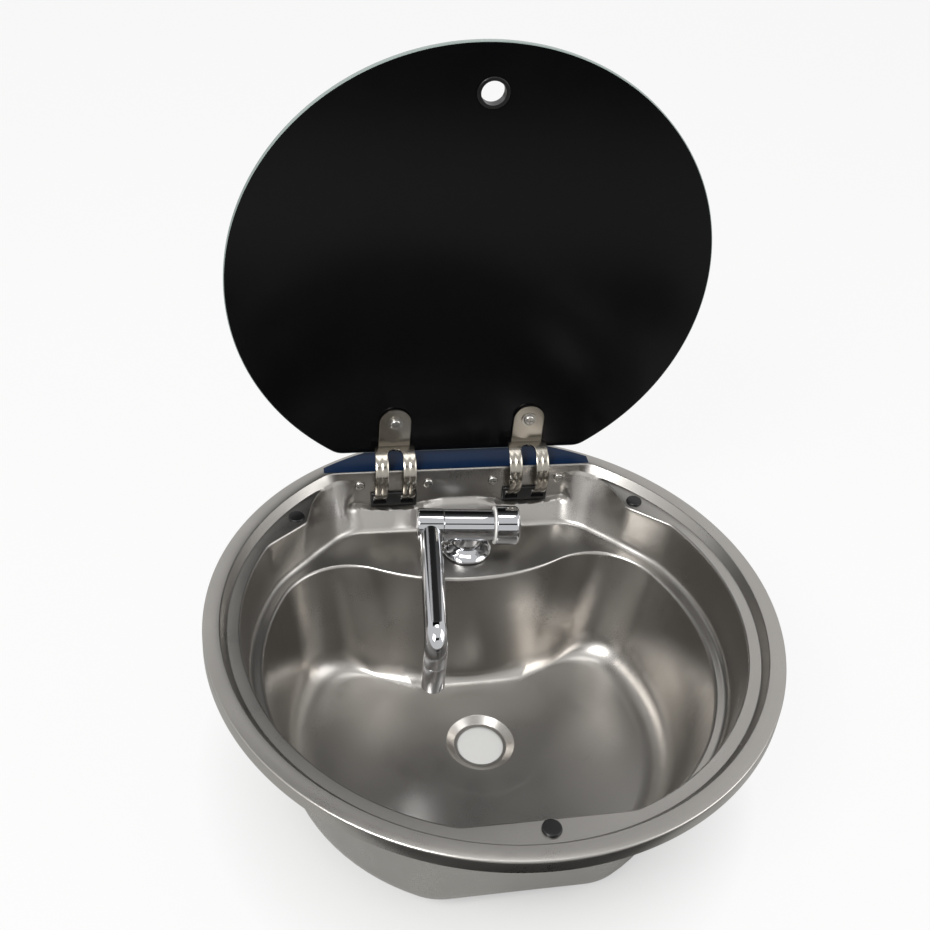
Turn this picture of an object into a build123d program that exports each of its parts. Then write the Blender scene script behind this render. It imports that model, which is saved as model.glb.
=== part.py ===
"""Round drop-in sink with a glass lid on two curved hinge arms and a folding tap."""
import os
from math import atan2, cos, radians, sin, sqrt, tan

from build123d import *

os.makedirs("parts", exist_ok=True)

# Pressed bowl, driving dimensions in mm; the waste hole's underside is the origin and Z points up
RIM_R = 210.0
RIM_HEIGHT = 152.0
SHEET = 0.8
SKIRT_DEPTH = 10.0
SKIRT_CORNER = 3.0
RING_INNER_R = 198.0
LEDGE_OUTER_R = 193.6
LEDGE_INNER_R = 184.2
STEP_DEPTH = 7.0
REAR_CHORD_Y = 163.4
REAR_CORNER_R = 14.0
FRONT_CHORD_Y = 175.5
SHELF_DEPTH = 50.0
SHELF_OUTER_R = 179.0
SHELF_FRONT_Y = 170.5
DECK_REAR_Y = 146.0
FLOOR_DEPTH = 147.0

# Where the ledge swells out round the two rear bumpers, at the ledge and at the shelf
HORN_OUT = (160.0, 86.0)
HORN_TIP = (131.0, 112.0)
HORN_REAR = (124.0, 143.0)
CORNER_OUT = (151.0, 92.0)
CORNER_MID = (131.0, 117.0)
CORNER_REAR = (112.0, 132.0)
REAR_END_SHARE = 0.88

# Basin lip, a kidney of arcs that share their centres with the smaller outline at the floor
LIP_R = 168.5
LOBE_R = 55.0
LOBE_X = 101.0
LOBE_Y = 52.0
WAIST_Y = 83.5
BASIN_FRONT_Y = 157.0
BASIN_FRONT_R = 60.0
BASIN_DRAFT = 18.0
BASIN_FLOOR_R = 26.0

# Waste seat
WASTE_SEAT_R = 27.0
WASTE_HOLE_R = 18.5
WASTE_CONE_R = 21.0

# Seal strip under the rim
SEAL_INSET = 3.0
SEAL_WIDTH = 5.5

# Hinge panels pressed flat in the rear wall
HINGE_X = 56.5
PANEL_HALF = 40.0
PANEL_FLOOR_DEPTH = 36.0
PANEL_CORNER_R = 9.0
WALL_SCREW_X = 28.7
WALL_SCREW_DEPTH = 13.5
WALL_SCREW_R = 2.0
SCREW_HEAD_R = 4.2
SCREW_HEAD_HEIGHT = 2.2
SCREW_SLOT = 0.9
SCREW_SLOT_DEPTH = 1.1
SCREW_SLOT_LENGTH = 2.4
SCREW_END = 1.5
NUT_R = 4.0
NUT_HEIGHT = 3.2

# Hinge mechanism
PIVOT_Y = 177.0
PIVOT_DEPTH = 8.0
PIN_R = 2.5
PIN_FIT = 0.05
SLEEVE_R = 4.6
ARM_R = 24.0
ARM_STRIP = 2.0
ARM_HALF = 16.5
ARM_SLOT_HALF = 6.5
ARM_SLOT_TOP = 98.0
ARM_SLOT_BOTTOM = 246.0
ARM_ENTRY_ANGLE = 253.0
TAB_HALF = 13.0
TAB_SCREW_RISE = 39.5
TAB_HOLE_R = 3.2
PAD_THICKNESS = 1.0
PAD_INSET = 0.6
BUSH_HALF = 19.5
BUSH_TOP_DEPTH = 21.4
BUSH_BOTTOM_DEPTH = 34.2
BUSH_FLANGE = 2.2
BUSH_BODY = 3.0
BUSH_LIP = 1.5
BUSH_GAP = 0.35
BRACKET_SHEET = 1.5
BRACKET_HALF = 34.0
BRACKET_TOP_DEPTH = 3.2
BRACKET_BOTTOM_DEPTH = 37.6
WINDOW_HALF = 18.6
WINDOW_TOP_DEPTH = 20.8
WINDOW_BOTTOM_DEPTH = 35.2
EAR_X = 17.4
EAR_REAR = 7.0
EAR_BOTTOM_DEPTH = 17.0
PIN_HEAD_R = 3.6
PIN_HEAD = 1.2

# Lid
LID_R = 191.5
GLASS = 5.0
LID_GAP = 2.3
LID_FACE_Y = 180.0
LID_CORNER_R = 18.0
FINGER_INSET = 37.2
FINGER_HOLE_R = 10.4
FINGER_CLEAR_R = 9.1
GROMMET_FLANGE_R = 12.0
GROMMET_FLANGE = 1.5
LID_SCREW_R = 2.5
LID_SCREW_HEAD_R = 4.6
LID_SCREW_HEAD = 2.6
WASHER_R = 6.2
WASHER = 1.0
LID_CAP_R = 9.0
LID_CAP = 3.0
CAP_BORE_SHARE = 0.6
CAP_ROUND_SHARE = 0.5
GLASS_HOLE_R = 4.0

# Bumpers
BUMPER_X = 139.5
BUMPER_Y = 119.0
BUMPER_FRONT_Y = 183.2
BUMPER_R = 6.5
BUMPER_HEIGHT = 1.7
BUMPER_STEM_R = 2.5
BUMPER_FOOT_R = 3.8
BUMPER_FOOT = 2.5

# Tap, turned a little on its neck as it stands
TAP_Y = 120.0
TAP_TURN = 5.0
TAP_AXIS_DEPTH = 24.5
TAP_SEAL_R = 20.0
TAP_SEAL = 1.2
FLANGE_R = 21.0
FLANGE_EDGE = 1.6
FLANGE_DOME_R = 14.0
FLANGE_HEIGHT = 7.0
NECK_R = 11.0
NECK_GAP = 0.3
SPIGOT_R = 8.0
SPIGOT_FIT = 0.05
SPIGOT_LENGTH = 5.0
BARREL_R = 13.0
BARREL_LEFT = 20.6
BARREL_RIGHT = 20.6
COLLAR_START = 20.9
COLLAR_END = 42.0
COLLAR_R = 13.4
JOURNAL_R = 8.5
JOURNAL_FIT = 0.05
JOURNAL_LENGTH = 14.0
CAP_RECESS_R = 10.5
CAP_RECESS = 1.2
SPOUT_R = 9.2
SPOUT_BORE_R = 6.5
SPOUT_DIP = 6.0
SPOUT_REACH = 118.0
ELBOW_R = 14.0
NOZZLE_R = 9.0
NOZZLE_DROP = 46.5
NOZZLE_LENGTH = 24.5
AERATOR_R = 7.4
AERATOR = 7.0
AERATOR_OUT = 1.0
AERATOR_HOLE_R = 1.0
KNOB_RING_START = 20.9
KNOB_RING_END = 22.6
KNOB_RING_R = 15.6
KNOB_END = 43.0
KNOB_R = 16.0
KNOB_DOME = 3.0
KNOB_WALL = 2.5
SPINDLE_R = 4.0
SPINDLE_FIT = 0.05
SPINDLE_DEPTH = 12.0
SHANK_R = 10.0
SHANK_LENGTH = 42.0
SHANK_BORE_R = 5.0
DECK_HOLE_R = 11.0
DECK_WASHER_R = 18.0
DECK_WASHER = 2.0
DECK_NUT_R = 17.0
DECK_NUT = 9.0
PIPE_R = 6.0
PIPE_BORE_R = 4.5
PIPE_COLLAR = 5.0
PIPE_LENGTH = 28.0
PIPE_CHAMFER = 0.8

# Shares of a piece's own size
LID_CHORD_SHARE = 0.8413
DOME_SHARE = 0.6
SPINDLE_SHARE = 0.9
AERATOR_RING_SHARE = 0.6
AERATOR_HOLES = 8

# Levels and places worked out from the driving dimensions
LEDGE_Z = RIM_HEIGHT - STEP_DEPTH
SHELF_Z = RIM_HEIGHT - SHELF_DEPTH
FLOOR_Z = RIM_HEIGHT - FLOOR_DEPTH
PIVOT_Z = RIM_HEIGHT - PIVOT_DEPTH
LID_RISE = PIVOT_Y - REAR_CHORD_Y + LID_GAP
LID_CHORD_Z = PIVOT_Z + LID_RISE
LID_CENTRE_Z = LID_CHORD_Z + LID_CHORD_SHARE * LID_R
FINGER_Z = LID_CENTRE_Z + LID_R - FINGER_INSET
TAB_FACE_Y = LID_FACE_Y - PAD_THICKNESS
TAP_AXIS_Z = RIM_HEIGHT - TAP_AXIS_DEPTH
TAB_SCREW_Z = RIM_HEIGHT + TAB_SCREW_RISE
WALL_SCREW_Z = RIM_HEIGHT - WALL_SCREW_DEPTH
PANEL_Y = REAR_CHORD_Y
BRACKET_Y = PANEL_Y + SHEET


def finish(builder, name):
    """Label one built piece and write it as its own file."""
    builder.part.label = name
    export_step(builder.part, "parts/" + name + ".step")


def recess_outline(radius, chord):
    """Circle with a straight rear chord and rounded corners."""
    with BuildSketch() as outline:
        Circle(radius)
        with Locations((0, chord + radius)):
            Rectangle(3 * radius, 2 * radius, mode=Mode.SUBTRACT)
        corners = outline.vertices().group_by(Axis.Y)[-1]
        fillet(corners, REAR_CORNER_R)
    return outline.sketch


def wall_outline(radius, front, rear, horn_out, horn_tip, horn_rear, grow):
    """Inner wall seen from above, from the flat front round to the rear chord."""
    radius, front, rear = radius + grow, front + grow, rear + grow
    start_x = sqrt(radius ** 2 - front ** 2)
    out = Vector(*horn_out).normalized() * radius
    tip = Vector(horn_tip[0] + grow, horn_tip[1] + grow)
    back = Vector(horn_rear[0] + grow, horn_rear[1] + grow / 2)
    side = (atan2(out.Y, out.X) + atan2(-front, start_x)) / 2
    middle = (radius * cos(side), radius * sin(side))
    with BuildSketch() as outline:
        with BuildLine():
            for hand in (1, -1):
                Line((0, -front), (hand * start_x, -front))
                ThreePointArc((hand * start_x, -front), (hand * middle[0], middle[1]),
                              (hand * out.X, out.Y))
                Polyline((hand * out.X, out.Y), (hand * tip.X, tip.Y), (hand * back.X, back.Y),
                         (hand * back.X * REAR_END_SHARE, rear), (0, rear))
        make_face()
    return outline.sketch


def basin_outline(inset):
    """Kidney outline of the basin; every arc keeps its centre as the outline shrinks."""
    waist_rise = WAIST_Y - LOBE_Y
    waist_r = (LOBE_X ** 2 + waist_rise ** 2 - LOBE_R ** 2) / (2 * (LOBE_R - waist_rise))
    waist_centre = WAIST_Y + waist_r
    front_centre_y = BASIN_FRONT_R - BASIN_FRONT_Y
    front_centre_x = sqrt((LIP_R - BASIN_FRONT_R) ** 2 - front_centre_y ** 2)
    lobe_angle = atan2(LOBE_Y, LOBE_X)
    front_angle = atan2(front_centre_y, front_centre_x)
    lip_r, lobe_r, front_r = LIP_R - inset, LOBE_R - inset, BASIN_FRONT_R - inset
    join_angle = atan2(waist_centre - LOBE_Y, -LOBE_X)
    with BuildSketch() as outline:
        with BuildLine():
            for hand in (1, -1):
                corner = (hand * front_centre_x, -BASIN_FRONT_Y + inset)
                low = (hand * lip_r * cos(front_angle), lip_r * sin(front_angle))
                high = (hand * lip_r * cos(lobe_angle), lip_r * sin(lobe_angle))
                join = (hand * (LOBE_X + lobe_r * cos(join_angle)), LOBE_Y + lobe_r * sin(join_angle))
                half = (front_angle - radians(90)) / 2
                corner_mid_x = hand * (front_centre_x + front_r * cos(half))
                corner_mid = (corner_mid_x, front_centre_y + front_r * sin(half))
                half = (front_angle + lobe_angle) / 2
                side_mid = (hand * lip_r * cos(half), lip_r * sin(half))
                half = (lobe_angle + join_angle) / 2
                lobe_mid = (hand * (LOBE_X + lobe_r * cos(half)), LOBE_Y + lobe_r * sin(half))
                Line((0, -BASIN_FRONT_Y + inset), corner)
                ThreePointArc(corner, corner_mid, low)
                ThreePointArc(low, side_mid, high)
                ThreePointArc(high, lobe_mid, join)
            waist = (0, WAIST_Y - inset)
            ThreePointArc(join, waist, (-join[0], join[1]))
        make_face()
    return outline.sketch


def bowl_form(grow):
    """Everything the bowl's surface wraps round; grow is the distance outside the inner face."""
    with BuildPart() as form:
        with BuildSketch(Plane.XY.offset(RIM_HEIGHT)):
            add(recess_outline(RING_INNER_R + grow, REAR_CHORD_Y + grow))
        with BuildSketch(Plane.XY.offset(LEDGE_Z - grow)):
            add(recess_outline(LEDGE_OUTER_R + grow, REAR_CHORD_Y + grow))
        loft(ruled=True)
        with BuildSketch(Plane.XY.offset(LEDGE_Z - grow)):
            add(wall_outline(LEDGE_INNER_R, FRONT_CHORD_Y, REAR_CHORD_Y,
                             HORN_OUT, HORN_TIP, HORN_REAR, grow))
        with BuildSketch(Plane.XY.offset(SHELF_Z - grow)):
            add(wall_outline(SHELF_OUTER_R, SHELF_FRONT_Y, DECK_REAR_Y,
                             CORNER_OUT, CORNER_MID, CORNER_REAR, grow))
        loft(ruled=True)
        with BuildSketch(Plane.XY.offset(SHELF_Z - grow)):
            add(basin_outline(-grow))
        with BuildSketch(Plane.XY.offset(FLOOR_Z - grow)):
            add(basin_outline(BASIN_DRAFT - grow))
        loft(ruled=True)
        floor = form.faces().filter_by(Axis.Z).sort_by(Axis.Z)[0]
        fillet(floor.outer_wire().edges(), BASIN_FLOOR_R + grow)
        for hand in (1, -1):
            with BuildSketch(Plane.XZ.offset(-PANEL_Y - grow)):
                panel_height = PANEL_FLOOR_DEPTH + grow - STEP_DEPTH
                with Locations((hand * HINGE_X, LEDGE_Z - panel_height / 2)):
                    RectangleRounded(2 * (PANEL_HALF + grow), panel_height, PANEL_CORNER_R)
            extrude(amount=PANEL_Y - DECK_REAR_Y + PANEL_CORNER_R)
    return form.part


def rim_cap(grow):
    """Solid under the rounded rim and its skirt; grow is the distance inside the outer face."""
    with BuildPart() as cap:
        with BuildSketch(Plane.XY.offset(RIM_HEIGHT - grow)):
            Circle(RIM_R - grow)
        extrude(amount=grow - SKIRT_DEPTH)
        fillet(cap.faces().sort_by(Axis.Z)[-1].edges(), SKIRT_CORNER - grow)
    return cap.part


def arc_sector(inner, outer, start, end):
    """Ring sector about the pivot in the side view, counted round the front of the pivot."""
    reach = 2 * outer
    ends = [(reach * cos(radians(angle)), reach * sin(radians(angle))) for angle in (start, end)]
    with BuildSketch() as sector:
        Circle(outer)
        Circle(inner, mode=Mode.SUBTRACT)
        with BuildLine():
            Polyline((0, 0), ends[0], (reach, reach), (reach, -reach), ends[1], (0, 0))
        make_face(mode=Mode.SUBTRACT)
    return sector.sketch


def side_plane(x):
    """Side view plane through the hinge pivot, facing along X."""
    return Plane(origin=(x, PIVOT_Y, PIVOT_Z), x_dir=(0, 1, 0), z_dir=(1, 0, 0))


def front_plane(x, y, z):
    """Plane facing the front of the sink, with X to the right and Z up."""
    return Plane(origin=(x, y, z), x_dir=(1, 0, 0), z_dir=(0, -1, 0))


TURN = radians(TAP_TURN)
BARREL_DIR = Vector(cos(TURN), -sin(TURN), 0)
REAR_DIR = Vector(sin(TURN), cos(TURN), 0)
TAP_POINT = Vector(0, TAP_Y, TAP_AXIS_Z)


def barrel_plane(along):
    """Plane across the tap's barrel, looking along it from the spout's end to the knob's."""
    return Plane(origin=TAP_POINT + BARREL_DIR * along, x_dir=REAR_DIR, z_dir=BARREL_DIR)


# Pressed bowl
outer_form = bowl_form(SHEET)
inner_form = bowl_form(0)
cap_outside = rim_cap(0)
cap_inside = rim_cap(SHEET)
with BuildPart() as sink_bowl:
    add(cap_outside)
    add(cap_inside, mode=Mode.SUBTRACT)
    add(outer_form)
    add(inner_form, mode=Mode.SUBTRACT)
    with BuildSketch(Plane.XY.offset(FLOOR_Z - SHEET)):
        Circle(WASTE_SEAT_R + SHEET)
    with BuildSketch(Plane.XY):
        Circle(WASTE_CONE_R + SHEET)
    loft(ruled=True)
    with BuildSketch(Plane.XY.offset(FLOOR_Z)):
        Circle(WASTE_SEAT_R)
    with BuildSketch(Plane.XY.offset(SHEET)):
        Circle(WASTE_CONE_R)
    loft(ruled=True, mode=Mode.SUBTRACT)
    with BuildSketch(Plane.XY):
        Circle(WASTE_HOLE_R)
    extrude(amount=FLOOR_Z, mode=Mode.SUBTRACT)
    with BuildSketch(Plane.XY.offset(SHELF_Z + SHEET)):
        with Locations((0, TAP_Y)):
            Circle(DECK_HOLE_R)
    extrude(amount=-3 * SHEET, mode=Mode.SUBTRACT)
    with BuildSketch(Plane.XY.offset(LEDGE_Z + SHEET)):
        with Locations((0, -BUMPER_FRONT_Y), (BUMPER_X, BUMPER_Y), (-BUMPER_X, BUMPER_Y)):
            Circle(BUMPER_STEM_R)
    extrude(amount=-3 * SHEET, mode=Mode.SUBTRACT)
    for hand in (1, -1):
        with BuildSketch(front_plane(hand * HINGE_X, PANEL_Y - SHEET, RIM_HEIGHT)):
            with Locations((0, -(BUSH_TOP_DEPTH + BUSH_BOTTOM_DEPTH) / 2)):
                Rectangle(2 * (BUSH_HALF - BUSH_LIP), BUSH_BOTTOM_DEPTH - BUSH_TOP_DEPTH - 2 * BUSH_LIP)
            with Locations((WALL_SCREW_X, -WALL_SCREW_DEPTH), (-WALL_SCREW_X, -WALL_SCREW_DEPTH)):
                Circle(WALL_SCREW_R)
        extrude(amount=-3 * SHEET, mode=Mode.SUBTRACT)
finish(sink_bowl, "sink_bowl")

# Seal strip under the rim
with BuildPart() as rim_seal:
    with BuildSketch(Plane.XY.offset(RIM_HEIGHT - SHEET)):
        Circle(RIM_R - SEAL_INSET)
        Circle(RIM_R - SEAL_INSET - SEAL_WIDTH, mode=Mode.SUBTRACT)
    extrude(amount=SHEET - SKIRT_DEPTH)
finish(rim_seal, "rim_seal")

# Rubber bumpers that the closed lid stands on
BUMPER_PLACES = {
    "bumper_front": (0, -BUMPER_FRONT_Y),
    "bumper_left": (-BUMPER_X, BUMPER_Y),
    "bumper_right": (BUMPER_X, BUMPER_Y),
}
for name, place in BUMPER_PLACES.items():
    with BuildPart() as bumper:
        with BuildSketch(Plane.XY.offset(LEDGE_Z)):
            with Locations(place):
                Circle(BUMPER_R)
        extrude(amount=BUMPER_HEIGHT)
        fillet(bumper.faces().sort_by(Axis.Z)[-1].edges(), BUMPER_HEIGHT * DOME_SHARE)
        with BuildSketch(Plane.XY.offset(LEDGE_Z)):
            with Locations(place):
                Circle(BUMPER_STEM_R)
        extrude(amount=-SHEET)
        with BuildSketch(Plane.XY.offset(LEDGE_Z - SHEET)):
            with Locations(place):
                Circle(BUMPER_FOOT_R)
        extrude(amount=-BUMPER_FOOT)
        chamfer(bumper.faces().sort_by(Axis.Z)[0].edges(), BUMPER_FOOT * DOME_SHARE)
    finish(bumper, name)


def hinge_set(side, x):
    """Bush, bracket, pin, screws and nuts on the wall, and the arm with its fixings on the lid."""
    bush_middle = -(BUSH_TOP_DEPTH + BUSH_BOTTOM_DEPTH) / 2
    bush_height = BUSH_BOTTOM_DEPTH - BUSH_TOP_DEPTH
    channel = arc_sector(ARM_R - ARM_STRIP / 2 - BUSH_GAP, ARM_R + ARM_STRIP / 2 + BUSH_GAP, 90, 270)
    with BuildPart() as bush:
        with BuildSketch(front_plane(x, PANEL_Y, RIM_HEIGHT)):
            with Locations((0, bush_middle)):
                Rectangle(2 * BUSH_HALF, bush_height)
        extrude(amount=BUSH_FLANGE)
        with BuildSketch(front_plane(x, PANEL_Y, RIM_HEIGHT)):
            with Locations((0, bush_middle)):
                Rectangle(2 * (BUSH_HALF - BUSH_LIP), bush_height - 2 * BUSH_LIP)
        extrude(amount=-BUSH_BODY)
        for leg in (1, -1):
            with BuildSketch(side_plane(x + leg * (ARM_HALF + ARM_SLOT_HALF) / 2)):
                add(channel)
            extrude(amount=(ARM_HALF - ARM_SLOT_HALF) / 2 + BUSH_GAP, both=True, mode=Mode.SUBTRACT)
    finish(bush, "hinge_bush_" + side)

    with BuildPart() as bracket:
        with BuildSketch(front_plane(x, BRACKET_Y, RIM_HEIGHT)):
            with Locations((0, -(BRACKET_TOP_DEPTH + BRACKET_BOTTOM_DEPTH) / 2)):
                Rectangle(2 * BRACKET_HALF, BRACKET_BOTTOM_DEPTH - BRACKET_TOP_DEPTH)
            with Locations((0, -(WINDOW_TOP_DEPTH + WINDOW_BOTTOM_DEPTH) / 2)):
                Rectangle(2 * WINDOW_HALF, WINDOW_BOTTOM_DEPTH - WINDOW_TOP_DEPTH, mode=Mode.SUBTRACT)
            with Locations((WALL_SCREW_X, -WALL_SCREW_DEPTH), (-WALL_SCREW_X, -WALL_SCREW_DEPTH)):
                Circle(WALL_SCREW_R, mode=Mode.SUBTRACT)
        extrude(amount=-BRACKET_SHEET)
        for hand in (1, -1):
            ear_plane = Plane(origin=(x + hand * EAR_X, 0, RIM_HEIGHT), x_dir=(0, 1, 0), z_dir=(1, 0, 0))
            ear_middle = -(BRACKET_TOP_DEPTH + EAR_BOTTOM_DEPTH) / 2
            with BuildSketch(ear_plane):
                with Locations(((BRACKET_Y + PIVOT_Y + EAR_REAR) / 2, ear_middle)):
                    Rectangle(PIVOT_Y + EAR_REAR - BRACKET_Y, EAR_BOTTOM_DEPTH - BRACKET_TOP_DEPTH)
                with Locations((PIVOT_Y, -PIVOT_DEPTH)):
                    Circle(PIN_R, mode=Mode.SUBTRACT)
            extrude(amount=hand * BRACKET_SHEET)
    finish(bracket, "hinge_bracket_" + side)

    with BuildPart() as pin:
        with BuildSketch(side_plane(x)):
            Circle(PIN_R)
        extrude(amount=EAR_X + BRACKET_SHEET, both=True)
        for hand in (1, -1):
            with BuildSketch(side_plane(x + hand * (EAR_X + BRACKET_SHEET))):
                Circle(PIN_HEAD_R)
            extrude(amount=hand * PIN_HEAD)
            chamfer(pin.faces().sort_by(Axis.X)[-1 if hand > 0 else 0].edges(), PIN_HEAD * DOME_SHARE)
    finish(pin, "hinge_pin_" + side)

    for hand, end in ((1, "right"), (-1, "left")):
        place = x + hand * WALL_SCREW_X
        with BuildPart() as screw:
            with BuildSketch(front_plane(place, PANEL_Y, WALL_SCREW_Z)):
                Circle(SCREW_HEAD_R)
            extrude(amount=SCREW_HEAD_HEIGHT)
            fillet(screw.faces().sort_by(Axis.Y)[0].edges(), SCREW_HEAD_HEIGHT * DOME_SHARE)
            with BuildSketch(front_plane(place, PANEL_Y - SCREW_HEAD_HEIGHT, WALL_SCREW_Z)):
                Rectangle(2 * SCREW_SLOT_LENGTH, SCREW_SLOT)
                Rectangle(SCREW_SLOT, 2 * SCREW_SLOT_LENGTH)
            extrude(amount=-SCREW_SLOT_DEPTH, mode=Mode.SUBTRACT)
            with BuildSketch(front_plane(place, PANEL_Y, WALL_SCREW_Z)):
                Circle(WALL_SCREW_R)
            extrude(amount=-(SHEET + BRACKET_SHEET + NUT_HEIGHT + SCREW_END))
        finish(screw, "wall_screw_" + side + "_" + end)
        with BuildPart() as nut:
            with BuildSketch(front_plane(place, BRACKET_Y + BRACKET_SHEET, WALL_SCREW_Z)):
                RegularPolygon(NUT_R, 6)
                Circle(WALL_SCREW_R, mode=Mode.SUBTRACT)
            extrude(amount=-NUT_HEIGHT)
        finish(nut, "wall_nut_" + side + "_" + end)

    web_dir = Vector(cos(radians(ARM_ENTRY_ANGLE)), sin(radians(ARM_ENTRY_ANGLE)))
    with BuildPart() as arm:
        with BuildSketch(side_plane(x)):
            add(arc_sector(ARM_R - ARM_STRIP / 2, ARM_R + ARM_STRIP / 2, 90, ARM_ENTRY_ANGLE))
            with Locations(((TAB_FACE_Y - PIVOT_Y) / 2, ARM_R)):
                Rectangle(TAB_FACE_Y - PIVOT_Y, ARM_STRIP)
            with Locations(web_dir * (ARM_R / 2)):
                Rectangle(ARM_R, ARM_STRIP, rotation=ARM_ENTRY_ANGLE)
            Circle(SLEEVE_R)
            Circle(PIN_R + PIN_FIT, mode=Mode.SUBTRACT)
        extrude(amount=ARM_HALF, both=True)
        with BuildSketch(side_plane(x)):
            add(arc_sector(ARM_R - ARM_STRIP, ARM_R + ARM_STRIP, ARM_SLOT_TOP, ARM_SLOT_BOTTOM))
        extrude(amount=ARM_SLOT_HALF, both=True, mode=Mode.SUBTRACT)
        arm_top = PIVOT_Z + ARM_R
        with BuildSketch(front_plane(x, TAB_FACE_Y, arm_top)):
            with Locations((0, (TAB_SCREW_Z - arm_top) / 2)):
                Rectangle(2 * TAB_HALF, TAB_SCREW_Z - arm_top)
            with Locations((0, TAB_SCREW_Z - arm_top)):
                Circle(TAB_HALF)
                Circle(TAB_HOLE_R, mode=Mode.SUBTRACT)
        extrude(amount=ARM_STRIP)
    finish(arm, "hinge_arm_" + side)

    with BuildPart() as pad:
        with BuildSketch(front_plane(x, LID_FACE_Y, arm_top)):
            with Locations((0, (TAB_SCREW_Z - arm_top) / 2 + PAD_INSET)):
                Rectangle(2 * (TAB_HALF - PAD_INSET), TAB_SCREW_Z - arm_top)
            with Locations((0, TAB_SCREW_Z - arm_top)):
                Circle(TAB_HALF - PAD_INSET)
        extrude(amount=PAD_THICKNESS)
        with BuildSketch(front_plane(x, LID_FACE_Y, TAB_SCREW_Z)):
            Circle(GLASS_HOLE_R)
        extrude(amount=-GLASS)
        with BuildSketch(front_plane(x, TAB_FACE_Y, TAB_SCREW_Z)):
            Circle(LID_SCREW_R)
        extrude(amount=-(PAD_THICKNESS + GLASS), mode=Mode.SUBTRACT)
    finish(pad, "lid_pad_" + side)

    washer_face = TAB_FACE_Y - ARM_STRIP
    with BuildPart() as washer:
        with BuildSketch(front_plane(x, washer_face, TAB_SCREW_Z)):
            Circle(WASHER_R)
            Circle(LID_SCREW_R, mode=Mode.SUBTRACT)
        extrude(amount=WASHER)
    finish(washer, "lid_washer_" + side)

    head_face = washer_face - WASHER
    with BuildPart() as lid_screw:
        with BuildSketch(front_plane(x, head_face, TAB_SCREW_Z)):
            Circle(LID_SCREW_HEAD_R)
        extrude(amount=LID_SCREW_HEAD)
        fillet(lid_screw.faces().sort_by(Axis.Y)[0].edges(), LID_SCREW_HEAD * DOME_SHARE)
        with BuildSketch(front_plane(x, head_face - LID_SCREW_HEAD, TAB_SCREW_Z)):
            Rectangle(2 * SCREW_SLOT_LENGTH, SCREW_SLOT)
            Rectangle(SCREW_SLOT, 2 * SCREW_SLOT_LENGTH)
        extrude(amount=-SCREW_SLOT_DEPTH, mode=Mode.SUBTRACT)
        with BuildSketch(front_plane(x, head_face, TAB_SCREW_Z)):
            Circle(LID_SCREW_R)
        extrude(amount=-(LID_FACE_Y + GLASS + LID_CAP * CAP_BORE_SHARE - head_face))
    finish(lid_screw, "lid_screw_" + side)

    with BuildPart() as lid_cap:
        with BuildSketch(front_plane(x, LID_FACE_Y + GLASS, TAB_SCREW_Z)):
            Circle(LID_CAP_R)
        extrude(amount=-LID_CAP)
        fillet(lid_cap.faces().sort_by(Axis.Y)[-1].edges(), LID_CAP * CAP_ROUND_SHARE)
        with BuildSketch(front_plane(x, LID_FACE_Y + GLASS, TAB_SCREW_Z)):
            Circle(LID_SCREW_R)
        extrude(amount=-LID_CAP * CAP_BORE_SHARE, mode=Mode.SUBTRACT)
    finish(lid_cap, "lid_cap_" + side)


hinge_set("left", -HINGE_X)
hinge_set("right", HINGE_X)

# Glass lid, standing open
with BuildPart() as lid_glass:
    with BuildSketch(front_plane(0, LID_FACE_Y, LID_CENTRE_Z)) as glass_outline:
        Circle(LID_R)
        with Locations((0, LID_CHORD_Z - LID_CENTRE_Z - LID_R)):
            Rectangle(2 * LID_R, 2 * LID_R, mode=Mode.SUBTRACT)
        fillet(glass_outline.vertices().group_by(Axis.Z)[0], LID_CORNER_R)
        with Locations((0, FINGER_Z - LID_CENTRE_Z)):
            Circle(FINGER_HOLE_R, mode=Mode.SUBTRACT)
        with Locations((HINGE_X, TAB_SCREW_Z - LID_CENTRE_Z), (-HINGE_X, TAB_SCREW_Z - LID_CENTRE_Z)):
            Circle(GLASS_HOLE_R, mode=Mode.SUBTRACT)
    extrude(amount=-GLASS)
finish(lid_glass, "lid_glass")

# Grommet in the lid's finger hole
with BuildPart() as finger_grommet:
    with BuildSketch(front_plane(0, LID_FACE_Y - GROMMET_FLANGE, FINGER_Z)):
        Circle(GROMMET_FLANGE_R)
    extrude(amount=-GROMMET_FLANGE)
    with BuildSketch(front_plane(0, LID_FACE_Y, FINGER_Z)):
        Circle(FINGER_HOLE_R)
    extrude(amount=-GLASS)
    with BuildSketch(front_plane(0, LID_FACE_Y + GLASS, FINGER_Z)):
        Circle(GROMMET_FLANGE_R)
    extrude(amount=-GROMMET_FLANGE)
    ends = finger_grommet.faces().filter_by(Axis.Y).sort_by(Axis.Y)
    fillet((ends[0].edges() + ends[-1].edges()), GROMMET_FLANGE * DOME_SHARE)
    with BuildSketch(front_plane(0, LID_FACE_Y - GROMMET_FLANGE, FINGER_Z)):
        Circle(FINGER_CLEAR_R)
    extrude(amount=-(GLASS + 2 * GROMMET_FLANGE), mode=Mode.SUBTRACT)
finish(finger_grommet, "finger_grommet")

# Tap foot and everything under the deck
with BuildPart() as tap_seal:
    with BuildSketch(Plane.XY.offset(SHELF_Z)):
        with Locations((0, TAP_Y)):
            Circle(TAP_SEAL_R)
            Circle(SHANK_R, mode=Mode.SUBTRACT)
    extrude(amount=TAP_SEAL)
finish(tap_seal, "tap_seal")

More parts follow.
